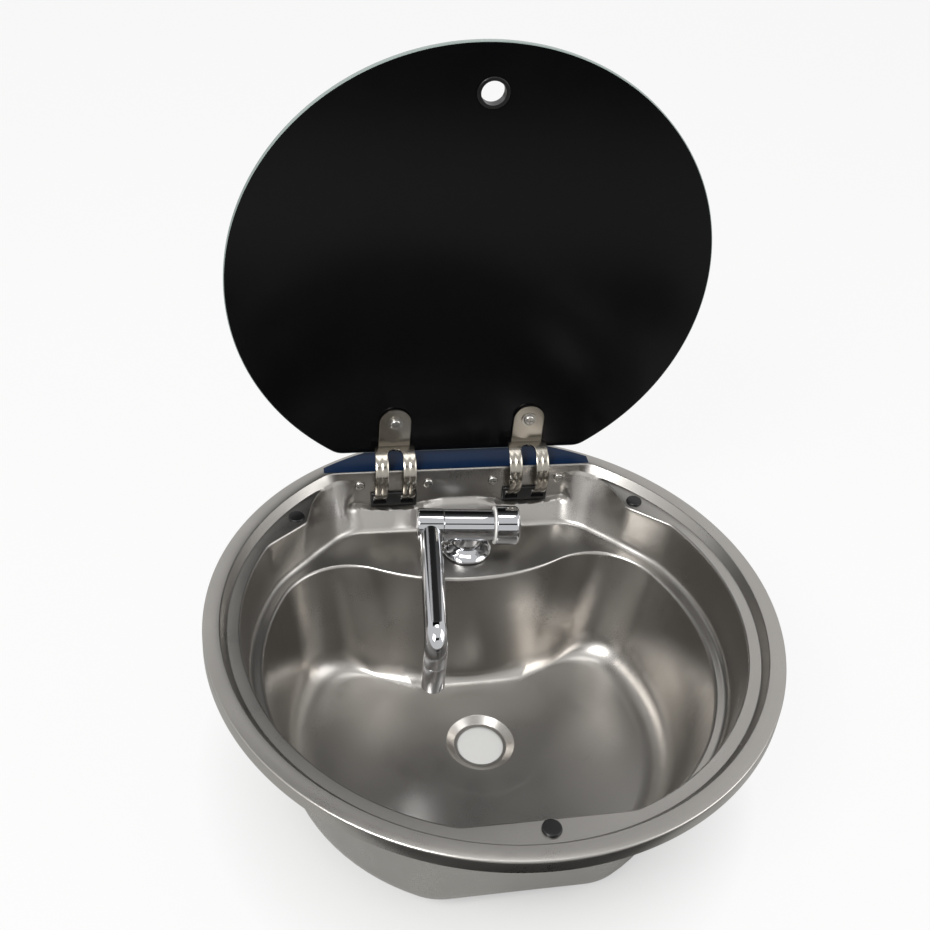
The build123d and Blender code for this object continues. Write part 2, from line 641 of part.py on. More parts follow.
FLANGE_Z = SHELF_Z + TAP_SEAL
FLANGE_TOP_Z = FLANGE_Z + FLANGE_HEIGHT
with BuildPart() as tap_flange:
    with BuildSketch(front_plane(0, TAP_Y, FLANGE_Z)):
        with BuildLine():
            Polyline((0, 0), (FLANGE_R, 0), (FLANGE_R, FLANGE_EDGE))
            RadiusArc((FLANGE_R, FLANGE_EDGE), (FLANGE_DOME_R, FLANGE_HEIGHT), -FLANGE_DOME_R)
            Polyline((FLANGE_DOME_R, FLANGE_HEIGHT), (0, FLANGE_HEIGHT), (0, 0))
        make_face()
    revolve(axis=Axis((0, TAP_Y, 0), (0, 0, 1)))
    with BuildSketch(Plane.XY.offset(FLANGE_TOP_Z)):
        with Locations((0, TAP_Y)):
            Circle(SPIGOT_R + SPIGOT_FIT)
    extrude(amount=-SPIGOT_LENGTH, mode=Mode.SUBTRACT)
finish(tap_flange, "tap_flange")

with BuildPart() as tap_shank:
    with BuildSketch(Plane.XY.offset(FLANGE_Z)):
        with Locations((0, TAP_Y)):
            Circle(SHANK_R)
            Circle(SHANK_BORE_R, mode=Mode.SUBTRACT)
    extrude(amount=-SHANK_LENGTH)
finish(tap_shank, "tap_shank")

WASHER_Z = SHELF_Z - SHEET
with BuildPart() as deck_washer:
    with BuildSketch(Plane.XY.offset(WASHER_Z)):
        with Locations((0, TAP_Y)):
            Circle(DECK_WASHER_R)
            Circle(SHANK_R, mode=Mode.SUBTRACT)
    extrude(amount=-DECK_WASHER)
finish(deck_washer, "deck_washer")

with BuildPart() as deck_nut:
    with BuildSketch(Plane.XY.offset(WASHER_Z - DECK_WASHER)):
        with Locations((0, TAP_Y)):
            RegularPolygon(DECK_NUT_R, 6)
            Circle(SHANK_R, mode=Mode.SUBTRACT)
    extrude(amount=-DECK_NUT)
finish(deck_nut, "deck_nut")

PIPE_Z = FLANGE_Z - SHANK_LENGTH
with BuildPart() as inlet_pipe:
    with BuildSketch(Plane.XY.offset(PIPE_Z)):
        with Locations((0, TAP_Y)):
            Circle(SHANK_R)
    extrude(amount=-PIPE_COLLAR)
    with BuildSketch(Plane.XY.offset(PIPE_Z - PIPE_COLLAR)):
        with Locations((0, TAP_Y)):
            Circle(PIPE_R)
    extrude(amount=-PIPE_LENGTH)
    chamfer(inlet_pipe.faces().sort_by(Axis.Z)[0].edges(), PIPE_CHAMFER)
    with BuildSketch(Plane.XY.offset(PIPE_Z)):
        with Locations((0, TAP_Y)):
            Circle(PIPE_BORE_R)
    extrude(amount=-(PIPE_COLLAR + PIPE_LENGTH), mode=Mode.SUBTRACT)
finish(inlet_pipe, "inlet_pipe")

# Tap body that turns on the foot
with BuildPart() as tap_body:
    with BuildSketch(Plane.XY.offset(TAP_AXIS_Z)):
        with Locations((0, TAP_Y)):
            Circle(NECK_R)
    extrude(amount=FLANGE_TOP_Z + NECK_GAP - TAP_AXIS_Z)
    with BuildSketch(Plane.XY.offset(FLANGE_TOP_Z + NECK_GAP)):
        with Locations((0, TAP_Y)):
            Circle(SPIGOT_R)
    extrude(amount=-SPIGOT_LENGTH)
    with BuildSketch(barrel_plane(-BARREL_LEFT)):
        Circle(BARREL_R)
    extrude(amount=BARREL_LEFT + BARREL_RIGHT)
    with BuildSketch(barrel_plane(-BARREL_LEFT)):
        Circle(JOURNAL_R)
    extrude(amount=-JOURNAL_LENGTH)
    with BuildSketch(barrel_plane(BARREL_RIGHT)):
        Circle(SPINDLE_R + SPINDLE_FIT)
    extrude(amount=-SPINDLE_DEPTH, mode=Mode.SUBTRACT)
finish(tap_body, "tap_body")

# Folding spout
SPOUT_ALONG = (COLLAR_START + COLLAR_END) / 2
SPOUT_DROP = SPOUT_REACH * tan(radians(SPOUT_DIP))
spout_plane = Plane(origin=TAP_POINT - BARREL_DIR * SPOUT_ALONG, x_dir=-REAR_DIR, z_dir=-BARREL_DIR)
spout_end = (SPOUT_REACH, NOZZLE_LENGTH - SPOUT_DROP - NOZZLE_DROP)
with BuildLine(spout_plane) as spout_path:
    FilletPolyline((0, 0), (SPOUT_REACH, -SPOUT_DROP), spout_end, radius=ELBOW_R)
spout_start = Plane(origin=spout_path.line @ 0, z_dir=spout_path.line % 0)
with BuildPart() as spout:
    with BuildSketch(spout_start):
        Circle(SPOUT_R)
    sweep(path=spout_path.line)
    with BuildSketch(barrel_plane(-COLLAR_START)):
        Circle(COLLAR_R)
    extrude(amount=COLLAR_START - COLLAR_END)
    with BuildSketch(spout_start):
        Circle(SPOUT_BORE_R)
    sweep(path=spout_path.line, mode=Mode.SUBTRACT)
    with BuildSketch(barrel_plane(-COLLAR_START)):
        Circle(JOURNAL_R + JOURNAL_FIT)
    extrude(amount=-JOURNAL_LENGTH, mode=Mode.SUBTRACT)
    with BuildSketch(barrel_plane(-COLLAR_END)):
        Circle(CAP_RECESS_R)
    extrude(amount=CAP_RECESS, mode=Mode.SUBTRACT)
finish(spout, "spout")

with BuildPart() as collar_cap:
    with BuildSketch(barrel_plane(-COLLAR_END)):
        Circle(CAP_RECESS_R)
    extrude(amount=CAP_RECESS)
finish(collar_cap, "collar_cap")

nozzle_top = spout_plane.from_local_coords(Vector(*spout_end, 0))
with BuildPart() as nozzle:
    with BuildSketch(Plane(origin=nozzle_top)):
        Circle(NOZZLE_R)
        Circle(AERATOR_R, mode=Mode.SUBTRACT)
    extrude(amount=-NOZZLE_LENGTH)
finish(nozzle, "nozzle")

with BuildPart() as aerator:
    with BuildSketch(Plane(origin=nozzle_top + Vector(0, 0, AERATOR - AERATOR_OUT - NOZZLE_LENGTH))):
        Circle(AERATOR_R)
    extrude(amount=-AERATOR)
    outlet = aerator.faces().sort_by(Axis.Z)[0]
    with BuildSketch(Plane(outlet.center())):
        with PolarLocations(AERATOR_R * AERATOR_RING_SHARE, AERATOR_HOLES):
            Circle(AERATOR_HOLE_R)
    extrude(amount=AERATOR, mode=Mode.SUBTRACT)
finish(aerator, "aerator")

# Knob, its coloured ring and the spindle that carries both
with BuildPart() as knob_ring:
    with BuildSketch(barrel_plane(KNOB_RING_START)):
        Circle(KNOB_RING_R)
        Circle(SPINDLE_R, mode=Mode.SUBTRACT)
    extrude(amount=KNOB_RING_END - KNOB_RING_START)
finish(knob_ring, "knob_ring")

with BuildPart() as knob:
    with BuildSketch(barrel_plane(KNOB_RING_END)):
        Circle(KNOB_R)
    extrude(amount=KNOB_END - KNOB_RING_END)
    fillet(knob.faces().sort_by(Axis.X)[-1].edges(), KNOB_DOME)
    with BuildSketch(barrel_plane(KNOB_RING_END)):
        Circle(SPINDLE_R)
    extrude(amount=KNOB_END - KNOB_RING_END - KNOB_WALL, mode=Mode.SUBTRACT)
finish(knob, "knob")

with BuildPart() as spindle:
    with BuildSketch(barrel_plane(BARREL_RIGHT - SPINDLE_DEPTH * SPINDLE_SHARE)):
        Circle(SPINDLE_R)
    extrude(amount=KNOB_END - KNOB_WALL - BARREL_RIGHT + SPINDLE_DEPTH * SPINDLE_SHARE)
finish(spindle, "spindle")
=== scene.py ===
"""Round drop-in sink with a black glass lid and a folding chrome tap, dressed round its packed frame."""
from math import acos, atan2, cos, degrees, hypot, pi, radians, sin, sqrt, tan

import bmesh
import bpy
from bpy.props import FloatProperty, FloatVectorProperty, PointerProperty
from mathutils import Matrix, Vector


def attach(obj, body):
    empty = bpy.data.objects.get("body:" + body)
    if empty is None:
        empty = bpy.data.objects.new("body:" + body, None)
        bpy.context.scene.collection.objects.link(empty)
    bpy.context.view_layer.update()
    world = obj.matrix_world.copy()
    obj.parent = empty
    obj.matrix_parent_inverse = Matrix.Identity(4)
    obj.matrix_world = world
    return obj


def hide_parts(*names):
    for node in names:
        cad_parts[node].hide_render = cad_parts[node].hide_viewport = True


bl_info = {
    "name": "Round drop-in sink",
    "version": (1, 0, 0),
    "blender": (4, 5, 0),
    "location": "View3D > Sidebar > Sink",
    "description": "Models a round steel sink with a folding tap and a glass lid on curved hinge arms",
    "category": "Add Mesh",
}

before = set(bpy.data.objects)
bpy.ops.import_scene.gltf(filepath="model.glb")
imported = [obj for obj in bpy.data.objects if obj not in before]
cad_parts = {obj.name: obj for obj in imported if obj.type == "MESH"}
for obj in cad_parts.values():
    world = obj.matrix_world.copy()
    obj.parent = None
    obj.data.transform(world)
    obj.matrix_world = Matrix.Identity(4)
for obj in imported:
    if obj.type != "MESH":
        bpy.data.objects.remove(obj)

MM = 0.001
UP = Vector((0, 0, 1))
REARWARD = Vector((0, 1, 0))
SHARP_EDGE = radians(50)
SOFT_EDGE = radians(32)
RIM_Z = 152 * MM
PIVOT = Vector((0, 177 * MM, 144 * MM))
HINGE_X = 56.5 * MM
SIDES = (("left", -HINGE_X), ("right", HINGE_X))
# Slots for the bushes in the rear wall, measured from the rim down
SLOT_HALF = 18 * MM
SLOT_TOP = 22.9 * MM
SLOT_LOW = 32.7 * MM
# The rear wall stands upright down to here, and further in the lens-shaped pocket under each bush
UPRIGHT = 29 * MM
POCKET = 6.6 * MM
POCKET_HALF = 42 * MM
# Below it leans in, as if from this depth, to its foot on the shelf
LEAN_TOP = 27 * MM
REAR_FOOT_Y = 146 * MM
TAB_SCREW_Z = 191.5 * MM
LID_FACE_Y = 180 * MM
LID_CENTRE_Z = 321 * MM
LID_EDGE_Z = 159.9 * MM
FINGER = Vector((0, LID_FACE_Y, 475.3 * MM))
TAB_Y = 178 * MM
TAP_FOOT = Vector((0, 120 * MM, 103.2 * MM))
TAP_POINT = Vector((0, 120 * MM, 127.5 * MM))
TAP_TURN = radians(5)
BARREL = Vector((cos(TAP_TURN), -sin(TAP_TURN), 0))
FORWARD = Vector((-sin(TAP_TURN), -cos(TAP_TURN), 0))
WHITE = (1, 1, 1, 1)
# Pixels of the square picture: its width, and where the middle of the view falls in it
PICTURE = 930
VIEW_MIDDLE = (490.87, 365.93)


def length_prop(name, description, value):
    """Length that the user may change."""
    return FloatProperty(name=name, description=description, default=value, unit="LENGTH")


def angle_prop(name, description, value):
    """Angle that the user may change."""
    return FloatProperty(name=name, description=description, default=value, unit="ROTATION")


def colour_prop(name, description, text):
    """Colour that the user may change, from its sRGB hex value."""
    return FloatVectorProperty(
        name=name, description=description, default=colour(text), size=4, subtype="COLOR", min=0, max=1)


def colour(text):
    """Linear colour of an sRGB hex value."""
    parts = [int(text[i:i + 2], 16) / 255 for i in (1, 3, 5)]
    return [c / 12.92 if c <= 0.04045 else ((c + 0.055) / 1.055) ** 2.4 for c in parts] + [1]


class BowlSizes(bpy.types.PropertyGroup):
    """Pressed steel bowl."""

    rim: length_prop("Rim radius", "Outside of the rim", 209.9 * MM)
    skirt: length_prop("Skirt depth", "Turned-down edge", 10 * MM)
    ring: length_prop("Ring inner radius", "Inner edge of the flat rim ring", 198 * MM)
    step: length_prop("Ledge depth", "From the rim's top down to the ledge", 7 * MM)
    shelf: length_prop("Shelf depth", "From the rim's top down to the shelf", 50 * MM)
    floor: length_prop("Floor depth", "From the rim's top down to the floor", 147 * MM)
    chord: length_prop("Rear chord", "Distance of the flat rear wall from the middle", 163.4 * MM)
    sheet: length_prop("Sheet", "Thickness of the steel", 0.8 * MM)
    hole: length_prop("Waste hole radius", "Hole for the waste fitting", 18.5 * MM)


class LidSizes(bpy.types.PropertyGroup):
    """Glass lid."""

    radius: length_prop("Lid radius", "Round edge of the glass", 191.4 * MM)
    glass: length_prop("Glass", "Thickness of the glass", 5 * MM)
    corner: length_prop("Corner radius", "Where the flat edge meets the round one", 18 * MM)
    arris: length_prop("Arris", "Ground bevel along the edge", 0.7 * MM)


class HingeSizes(bpy.types.PropertyGroup):
    """Curved hinge arms."""

    radius: length_prop("Arm radius", "Middle of the strip round the pivot", 24 * MM)
    strip: length_prop("Strip", "Thickness of the arm", 2 * MM)
    half: length_prop("Half width", "Half the width over both legs", 16.5 * MM)
    slot: length_prop("Half slot", "Half the gap between the legs", 6.5 * MM)
    tab: length_prop("Tab radius", "Rounded end on the glass", 13 * MM)
    rib: length_prop("Rib height", "Pressed rib along each leg", 0.5 * MM)


class TapSizes(bpy.types.PropertyGroup):
    """Folding tap."""

    flange: length_prop("Flange radius", "Foot of the tap", 21 * MM)
    barrel: length_prop("Barrel radius", "Body of the tap", 13 * MM)
    collar: length_prop("Collar radius", "Collar that carries the spout", 13.4 * MM)
    spout: length_prop("Spout radius", "Outside of the spout tube", 9.2 * MM)
    reach: length_prop("Reach", "From the barrel out to the nozzle", 118 * MM)
    dip: angle_prop("Dip", "Slope of the spout as it stands", radians(6))
    elbow: length_prop("Elbow radius", "Bend before the nozzle", 14 * MM)
    knob: length_prop("Knob radius", "Outside of the knob", 16 * MM)


class StudioSizes(bpy.types.PropertyGroup):
    """Camera and light."""

    lens: FloatProperty(name="Lens", description="Focal length on a 36 mm sensor", default=46.555)
    camera: FloatVectorProperty(
        name="Camera", description="Where the camera stands", default=(-0.17597, -0.62170, 0.77101),
        unit="LENGTH")
    pitch: angle_prop("Pitch", "How far the camera looks down", 0.5684)
    yaw: angle_prop("Yaw", "How far it turns to the right", 0.239)
    roll: angle_prop("Roll", "How far it leans", 0.1077)
    daylight: FloatProperty(name="Daylight", description="Light from all round", default=0.55)


class FinishColours(bpy.types.PropertyGroup):
    """Colours of the finishes that show most."""

    sheet: colour_prop("Bowl steel", "Pressed stainless sheet", "#A6A39F")
    strip: colour_prop("Hinge steel", "Bright stainless strip", "#9C978E")
    chrome: colour_prop("Chrome", "Plated tap and caps", "#B9BABC")
    glass: colour_prop("Glass", "Black painted glass", "#040405")
    edge: colour_prop("Glass edge", "Ground edge of the lid", "#7F8A86")
    rubber: colour_prop("Rubber", "Bumpers, seals and grommet", "#080808")
    ring: colour_prop("Knob ring", "White acetal", "#DCDAD6")
    film: colour_prop("Film", "Protective film on the rim", "#061C38")
    floor: colour_prop("Floor", "Pale paper under the sink", "#B4B4B2")


def add(tree, kind, links=None, **settings):
    """Add a node with its settings; links gives the output that feeds each named input."""
    node = tree.nodes.new(kind)
    for key, value in settings.items():
        if hasattr(node, key):
            setattr(node, key, value)
        else:
            node.inputs[key.replace("_", " ")].default_value = value
    for key, output in (links or {}).items():
        tree.links.new(output, node.inputs[key])
    return node


def new_material(name):
    """Empty node material with its output."""
    made = bpy.data.materials.new(name)
    made.use_nodes = True
    made.node_tree.nodes.clear()
    return made, made.node_tree, add(made.node_tree, "ShaderNodeOutputMaterial")


def finish_material(name, base, tint, metallic, rough, spread, grain, depth, **extra):
    """Surface whose gloss and tone wander a little over patches, with a fine grain of a given depth."""
    patch = 45 * MM
    _, tree, out = new_material(name)
    place = add(tree, "ShaderNodeTexCoord").outputs["Object"]
    fine = add(tree, "ShaderNodeTexNoise", {"Vector": place}, Scale=1 / grain, Detail=3.0)
    broad = add(tree, "ShaderNodeTexNoise", {"Vector": place}, Scale=1 / patch, Detail=2.0)
    mixed = add(tree, "ShaderNodeMath", {0: fine.outputs["Fac"], 1: broad.outputs["Fac"]}, operation="ADD")
    gloss = add(tree, "ShaderNodeMapRange", {"Value": mixed.outputs[0]}, From_Min=0.6, From_Max=1.4,
                To_Min=max(0.0, rough - spread), To_Max=rough + spread)
    wander = add(tree, "ShaderNodeMix", {"Factor": broad.outputs["Fac"]}, data_type="RGBA")
    wander.inputs["A"].default_value = base
    wander.inputs["B"].default_value = colour(tint)
    bump = add(tree, "ShaderNodeBump", {"Height": fine.outputs["Fac"]}, Strength=1.0, Distance=depth)
    shader = add(tree, "ShaderNodeBsdfPrincipled",
                 {"Base Color": wander.outputs["Result"], "Roughness": gloss.outputs["Result"],
                  "Normal": bump.outputs["Normal"]}, Metallic=metallic, **extra)
    tree.links.new(shader.outputs["BSDF"], out.inputs["Surface"])


def make_materials(finish):
    """Every finish of the object."""
    # Stainless sheet pressed and brushed to a satin, so its lights are wide and soft
    finish_material("satin_stainless_sheet", finish.sheet, "#9A9793", 1, 0.3, 0.05, 0.5 * MM, 0.006 * MM)
    # Stainless strip tumbled bright after bending
    finish_material("bright_stainless_strip", finish.strip, "#9B968D", 1, 0.2, 0.05, 0.8 * MM, 0.004 * MM)
    # Zinc-plated screws and nuts, paler than the strip
    finish_material("zinc_plated_steel", colour("#B4B2AE"), "#A3A19D", 1, 0.22, 0.06, 0.6 * MM, 0.004 * MM)
    # Chrome plate over polished brass, a mirror with the faintest wave
    finish_material("polished_chrome_plate", finish.chrome, "#B2B3B6", 1, 0.035, 0.02, 14 * MM, 0.004 * MM)
    # Cast and machined brass, dull where it is out of sight
    finish_material("machined_brass", colour("#B08D4A"), "#9C7C42", 1, 0.28, 0.06, 0.7 * MM, 0.006 * MM)
    # Copper tube drawn to size, warm and half bright
    finish_material("drawn_copper_tube", colour("#B5714F"), "#9A6248", 1, 0.25, 0.07, 0.9 * MM, 0.005 * MM)
    # Soft rubber with the fine matt of its mould
    finish_material("moulded_black_rubber", finish.rubber, "#0C0C0C", 0, 0.3, 0.06, 0.4 * MM, 0.01 * MM,
                    Specular_IOR_Level=0.35)
    # Black nylon of the bushes, moulded with a light sheen
    finish_material("moulded_black_nylon", colour("#0B0B0C"), "#111112", 0, 0.38, 0.06, 0.5 * MM, 0.008 * MM)
    # Float glass painted black behind, which mirrors the pale room only dimly
    finish_material("black_painted_glass", finish.glass, "#060607", 0, 0.2, 0.02, 30 * MM, 0.001 * MM,
                    Specular_IOR_Level=0.14)
    # Ground and polished edge of the float glass, pale green-grey
    finish_material("ground_glass_edge", finish.edge, "#6C7672", 0, 0.3, 0.05, 0.7 * MM, 0.01 * MM)
    # White acetal ring between barrel and knob
    finish_material("white_acetal", finish.ring, "#D2D0CC", 0, 0.35, 0.05, 0.6 * MM, 0.004 * MM)
    # Grey acetal insert of the aerator
    finish_material("grey_acetal", colour("#8C8E90"), "#808284", 0, 0.4, 0.05, 0.6 * MM, 0.004 * MM)
    # Polyethylene protective film, still on the rear of the rim, slightly creased
    finish_material("blue_polyethylene_film", finish.film, "#05182E", 0, 0.34, 0.06, 9 * MM, 0.02 * MM,
                    Specular_IOR_Level=0.12)


def clear_selection():
    """Leave edit mode and deselect everything."""
    if bpy.context.object and bpy.context.object.mode != "OBJECT":
        bpy.ops.object.mode_set(mode="OBJECT")
    bpy.ops.object.select_all(action="DESELECT")


def take_up(piece):
    """Leave edit mode and select just this piece."""
    clear_selection()
    bpy.context.view_layer.objects.active = piece
    piece.select_set(True)


def place_piece(piece, name, body, finish, nodes=()):
    """Put a shaped piece at the origin with smooth shading, its finish and the body it rides on."""
    take_up(piece)
    bpy.ops.object.transform_apply(location=True, rotation=True, scale=True)
    bpy.ops.object.shade_smooth_by_angle(angle=SOFT_EDGE)
    piece.name = piece.data.name = name
    piece.data.materials.clear()
    piece.data.materials.append(bpy.data.materials[finish])
    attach(piece, body)
    if nodes:
        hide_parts(*nodes)
    return piece


def modify(piece, kind, **settings):
    """Add one modifier and apply it."""
    take_up(piece)
    modifier = piece.modifiers.new(kind.title(), kind)
    for key, value in settings.items():
        setattr(modifier, key, value)
    bpy.ops.object.modifier_apply(modifier=modifier.name)


def break_edges(piece, width, segments=2):
    """Bevel every sharp edge."""
    modify(piece, "BEVEL", width=width, segments=segments, limit_method="ANGLE", angle_limit=SHARP_EDGE)


def cut(piece, cutter):
    """Take the cutter out of the piece and remove the cutter."""
    modify(piece, "BOOLEAN", operation="DIFFERENCE", object=cutter, solver="EXACT")
    bpy.data.objects.remove(cutter)


def join(piece, other):
    """Make the other piece a part of this one."""
    take_up(piece)
    other.select_set(True)
    bpy.ops.object.join()


def box(centre, size):
    """Plain block."""
    clear_selection()
    bpy.ops.mesh.primitive_cube_add(size=1, location=centre, scale=size)
    bpy.ops.object.transform_apply(location=True, rotation=True, scale=True)
    return bpy.context.object


def edit_all():
    """Enter edit mode with everything selected."""
    bpy.ops.object.mode_set(mode="EDIT")
    bpy.ops.mesh.select_all(action="SELECT")


def face_outwards():
    """Turn every face of the mesh in edit mode outwards."""
    bpy.ops.mesh.select_all(action="SELECT")
    bpy.ops.mesh.normals_make_consistent(inside=False)


def turned(steps, foot, axis, segments=96):
    """Round solid: a circle extruded and scaled from step to step, each (radius, distance along the axis)."""
    clear_selection()
    bpy.ops.mesh.primitive_circle_add(vertices=segments, radius=steps[0][0], location=foot + axis * steps[0][1],
                                      rotation=axis.to_track_quat("Z", "Y").to_euler())
    edit_all()
    bpy.ops.mesh.edge_face_add()
    for before, after in zip(steps, steps[1:]):
        bpy.ops.mesh.extrude_region_move(TRANSFORM_OT_translate={"value": axis * (after[1] - before[1])})
        if after[0] != before[0]:
            k = after[0] / before[0]
            bpy.ops.transform.resize(value=(k, k, k), center_override=foot + axis * after[1])
    face_outwards()
    bpy.ops.object.mode_set(mode="OBJECT")
    bpy.ops.object.transform_apply(location=True, rotation=True, scale=True)
    return bpy.context.object


def profile(edge, radii, count=5):
    """Steps in metres of an outline in millimetres, with its inner corners rounded."""
    return [(r * MM, d * MM) for r, d in rounded(edge, radii, count)]


def rounded(points, radius, count=5):
    """Polyline with its inner corners rounded as far as their runs allow; radius is one value or one a corner.

    A straight corner gets as many points as a bent one, so that neighbouring sections keep matching.
    """
    nearly_straight, nearly_back = 1e-3, 3
    made = [points[0]]
    for i in range(1, len(points) - 1):
        before, here, after = (Vector(p) for p in points[i - 1:i + 2])
        r = radius[i - 1] if isinstance(radius, (list, tuple)) else radius
        if not r:
            made.append(tuple(here))
            continue
        into, out = here - before, after - here
        a, b = into.length, out.length
        into.normalize()
        out.normalize()
        bend = into.angle(out, 0.0)
        if bend < nearly_straight:
            reach = min(r / 2, 0.3 * a, 0.3 * b)
            start, end = here - into * reach, here + out * reach
            made += [tuple(start.lerp(end, k / count)) for k in range(count + 1)]
            continue
        reach = min(r * tan(bend / 2) if bend < nearly_back else a, 0.48 * a, 0.48 * b)
        fitted = reach / tan(bend / 2)
        inward, along = (out - into).normalized(), (out + into).normalized()
        centre = here + inward * (fitted / cos(bend / 2))
        for k in range(count + 1):
            spin = (k / count - 0.5) * bend
            made.append(tuple(centre - inward * fitted * cos(spin) + along * fitted * sin(spin)))
    made.append(points[-1])
    return made


def smoothstep(low, high, value):
    """0 below low, 1 above high, and an even curve between."""
    t = min(1, max(0, (value - low) / (high - low)))
    return t * t * (3 - 2 * t)


def polar_reach(points, count=1440):
    """Distance of a closed outline from the middle at evenly spaced angles."""
    rays = sorted((atan2(y, x) % (2 * pi), hypot(x, y)) for x, y in points)
    rays = [(rays[-1][0] - 2 * pi, rays[-1][1])] + rays + [(rays[0][0] + 2 * pi, rays[0][1])]
    reach, k = [], 0
    for i in range(count):
        angle = 2 * pi * i / count
        while rays[k + 1][0] < angle:
            k += 1
        (a0, r0), (a1, r1) = rays[k], rays[k + 1]
        # The straight run between two points, met by the ray at this angle
        x0, y0, x1, y1 = r0 * cos(a0), r0 * sin(a0), r1 * cos(a1), r1 * sin(a1)
        dx, dy, c, s = x1 - x0, y1 - y0, cos(angle), sin(angle)
        under = dx * s - dy * c
        reach.append((dx * y0 - dy * x0) / under if abs(under) > 1e-9 else r0)
    return reach


def soften(reach, span):
    """Even out an outline over a number of degrees."""
    count = len(reach)
    half = max(1, round(span / 2 * count / 360))
    return [sum(reach[(i + k) % count] for k in range(-half, half + 1)) / (2 * half + 1) for i in range(count)]


def reach_at(reach, angle):
    """Distance at any angle."""
    place = (angle % (2 * pi)) / (2 * pi) * len(reach)
    i = int(place)
    return reach[i % len(reach)] * (1 - place + i) + reach[(i + 1) % len(reach)] * (place - i)


def arc_points(centre, radius, start, end, count=24):
    """Points along an arc given in radians."""
    return [(centre[0] + radius * cos(start + (end - start) * k / count),
             centre[1] + radius * sin(start + (end - start) * k / count)) for k in range(count + 1)]


def both_sides(points):
    """A right-hand run of points with its mirror image on the left."""
    return points + [(-x, y) for x, y in points]


def recess_reach(radius, chord, corner):
    """Circle with a straight rear chord."""
    edge = acos(chord / radius)
    half = arc_points((0, 0), radius, -pi / 2, pi / 2 - edge, 60)
    half = rounded(half + [(0, chord)], [0] * (len(half) - 2) + [corner], 6)
    return polar_reach(both_sides(half))


def wall_reach(radius, front, rear, horn_out, tip, back, tip_span, back_span):
    """Inner wall from the flat front round to the rear, with the swelling at each rear bumper.

    It is evened out over two spans in degrees: tip_span round to the swelling's tip, and back_span behind it.
    """
    start = acos(front / radius) - pi / 2
    half = [(0, -front)] + arc_points((0, 0), radius, start, atan2(horn_out[1], horn_out[0]), 60)
    half += [tip, back, (back[0] * 0.88, rear), (0, rear)]
    sharp = polar_reach(both_sides(half))
    near, wide = soften(sharp, tip_span), soften(sharp, back_span)
    past_tip = degrees(atan2(tip[0], tip[1]))
    made = []
    for i in range(len(sharp)):
        from_rear = abs(degrees(2 * pi * i / len(sharp)) - 90)
        from_rear = min(from_rear, 360 - from_rear)
        share = 1 - smoothstep(past_tip - 4, past_tip - 1, from_rear)
        made.append(near[i] * (1 - share) + wide[i] * share)
    return made


def basin_reach(inset):
    """Kidney of the basin; every arc keeps its centre as it shrinks."""
    lip, lobe_r, lobe = 168.5 * MM, 55 * MM, (101 * MM, 52 * MM)
    waist, front, front_r = 83.5 * MM, 157 * MM, 60 * MM
    rise = waist - lobe[1]
    waist_r = (lobe[0] ** 2 + rise ** 2 - lobe_r ** 2) / (2 * (lobe_r - rise))
    low = front_r - front
    side = sqrt((lip - front_r) ** 2 - low ** 2)
    lobe_angle, front_angle = atan2(lobe[1], lobe[0]), atan2(low, side)
    join = atan2(waist + waist_r - lobe[1], -lobe[0])
    half = [(0, -front + inset)]
    half += arc_points((side, low), front_r - inset, -pi / 2, front_angle)
    half += arc_points((0, 0), lip - inset, front_angle, lobe_angle)
    half += arc_points(lobe, lobe_r - inset, lobe_angle, join)
    reach_x = lobe[0] + (lobe_r - inset) * cos(join)
    for k in range(1, 21):
        x = reach_x * (1 - k / 20)
        half.append((x, waist + waist_r - sqrt((waist_r + inset) ** 2 - x ** 2)))
    return polar_reach(both_sides(half))


def bowl_angles(sizes):
    """Angles of the columns: close together along the rear wall, and one on each end of the bushes' slots."""
    angles = [radians(-225 + 270 * k / 290) for k in range(290)]
    angles += [radians(45 + 90 * k / 340) for k in range(340)]
    for side in (1, -1):
        for hand in (1, -1):
            edge = atan2(sizes.chord, side * (HINGE_X + hand * SLOT_HALF))
            nearest = min(range(len(angles)), key=lambda k: abs(angles[k] - edge))
            angles[nearest] = edge
    return angles


def pocket_depth(sizes, angle):
    """How far the rear wall stands upright, lens-shaped under each hinge."""
    if sin(angle) < 0.5:
        return UPRIGHT
    across = abs(abs(sizes.chord / tan(angle)) - HINGE_X)
    return UPRIGHT + POCKET * max(0, 1 - (across / POCKET_HALF) ** 2)


def wall_rows(pocket):
    """Depths of the wall's rows, close together where it folds at its pocket."""
    first, last, fold = 11.5 * MM, 33 * MM, 0.6 * MM
    upper = [12 * MM, 16 * MM, 20 * MM, SLOT_TOP, 26 * MM, 29.5 * MM, SLOT_LOW]
    lower = [0, 0.25 * MM, 0.8 * MM, 1.6 * MM, 2.6 * MM, 4.2 * MM, 6.5 * MM]
    squeeze = min(1, (pocket - fold - first) / (last - first))
    return [first + (depth - first) * squeeze for depth in upper] + [pocket + depth for depth in lower]


def rear_lean(sizes, depth, top):
    """Distance of the rear wall from the middle if it leans in evenly from a given depth down to the shelf."""
    return sizes.chord - (sizes.chord - REAR_FOOT_Y) * max(0, depth - top) / (sizes.shelf - top)


def set_upright(sizes, pocket, x, y, depth):
    """Bring a point of the leaning rear wall out, so that the wall stands upright down to its pocket."""
    crease, softer, fade_from, fade_to = 0.25 * MM, 4.5 * MM, 82 * MM, 100 * MM
    leaning = rear_lean(sizes, depth, sizes.step)
    fold = crease + softer * (1 - (pocket - UPRIGHT) / POCKET)
    inward = rear_lean(sizes, depth, LEAN_TOP) - sizes.chord
    upright = sizes.chord + inward * smoothstep(pocket, pocket + fold, depth)
    share = 1 - smoothstep(fade_from, fade_to, abs(x))
    y_new = y + (max(upright, leaning) - leaning) * share
    return x * y_new / y, y_new


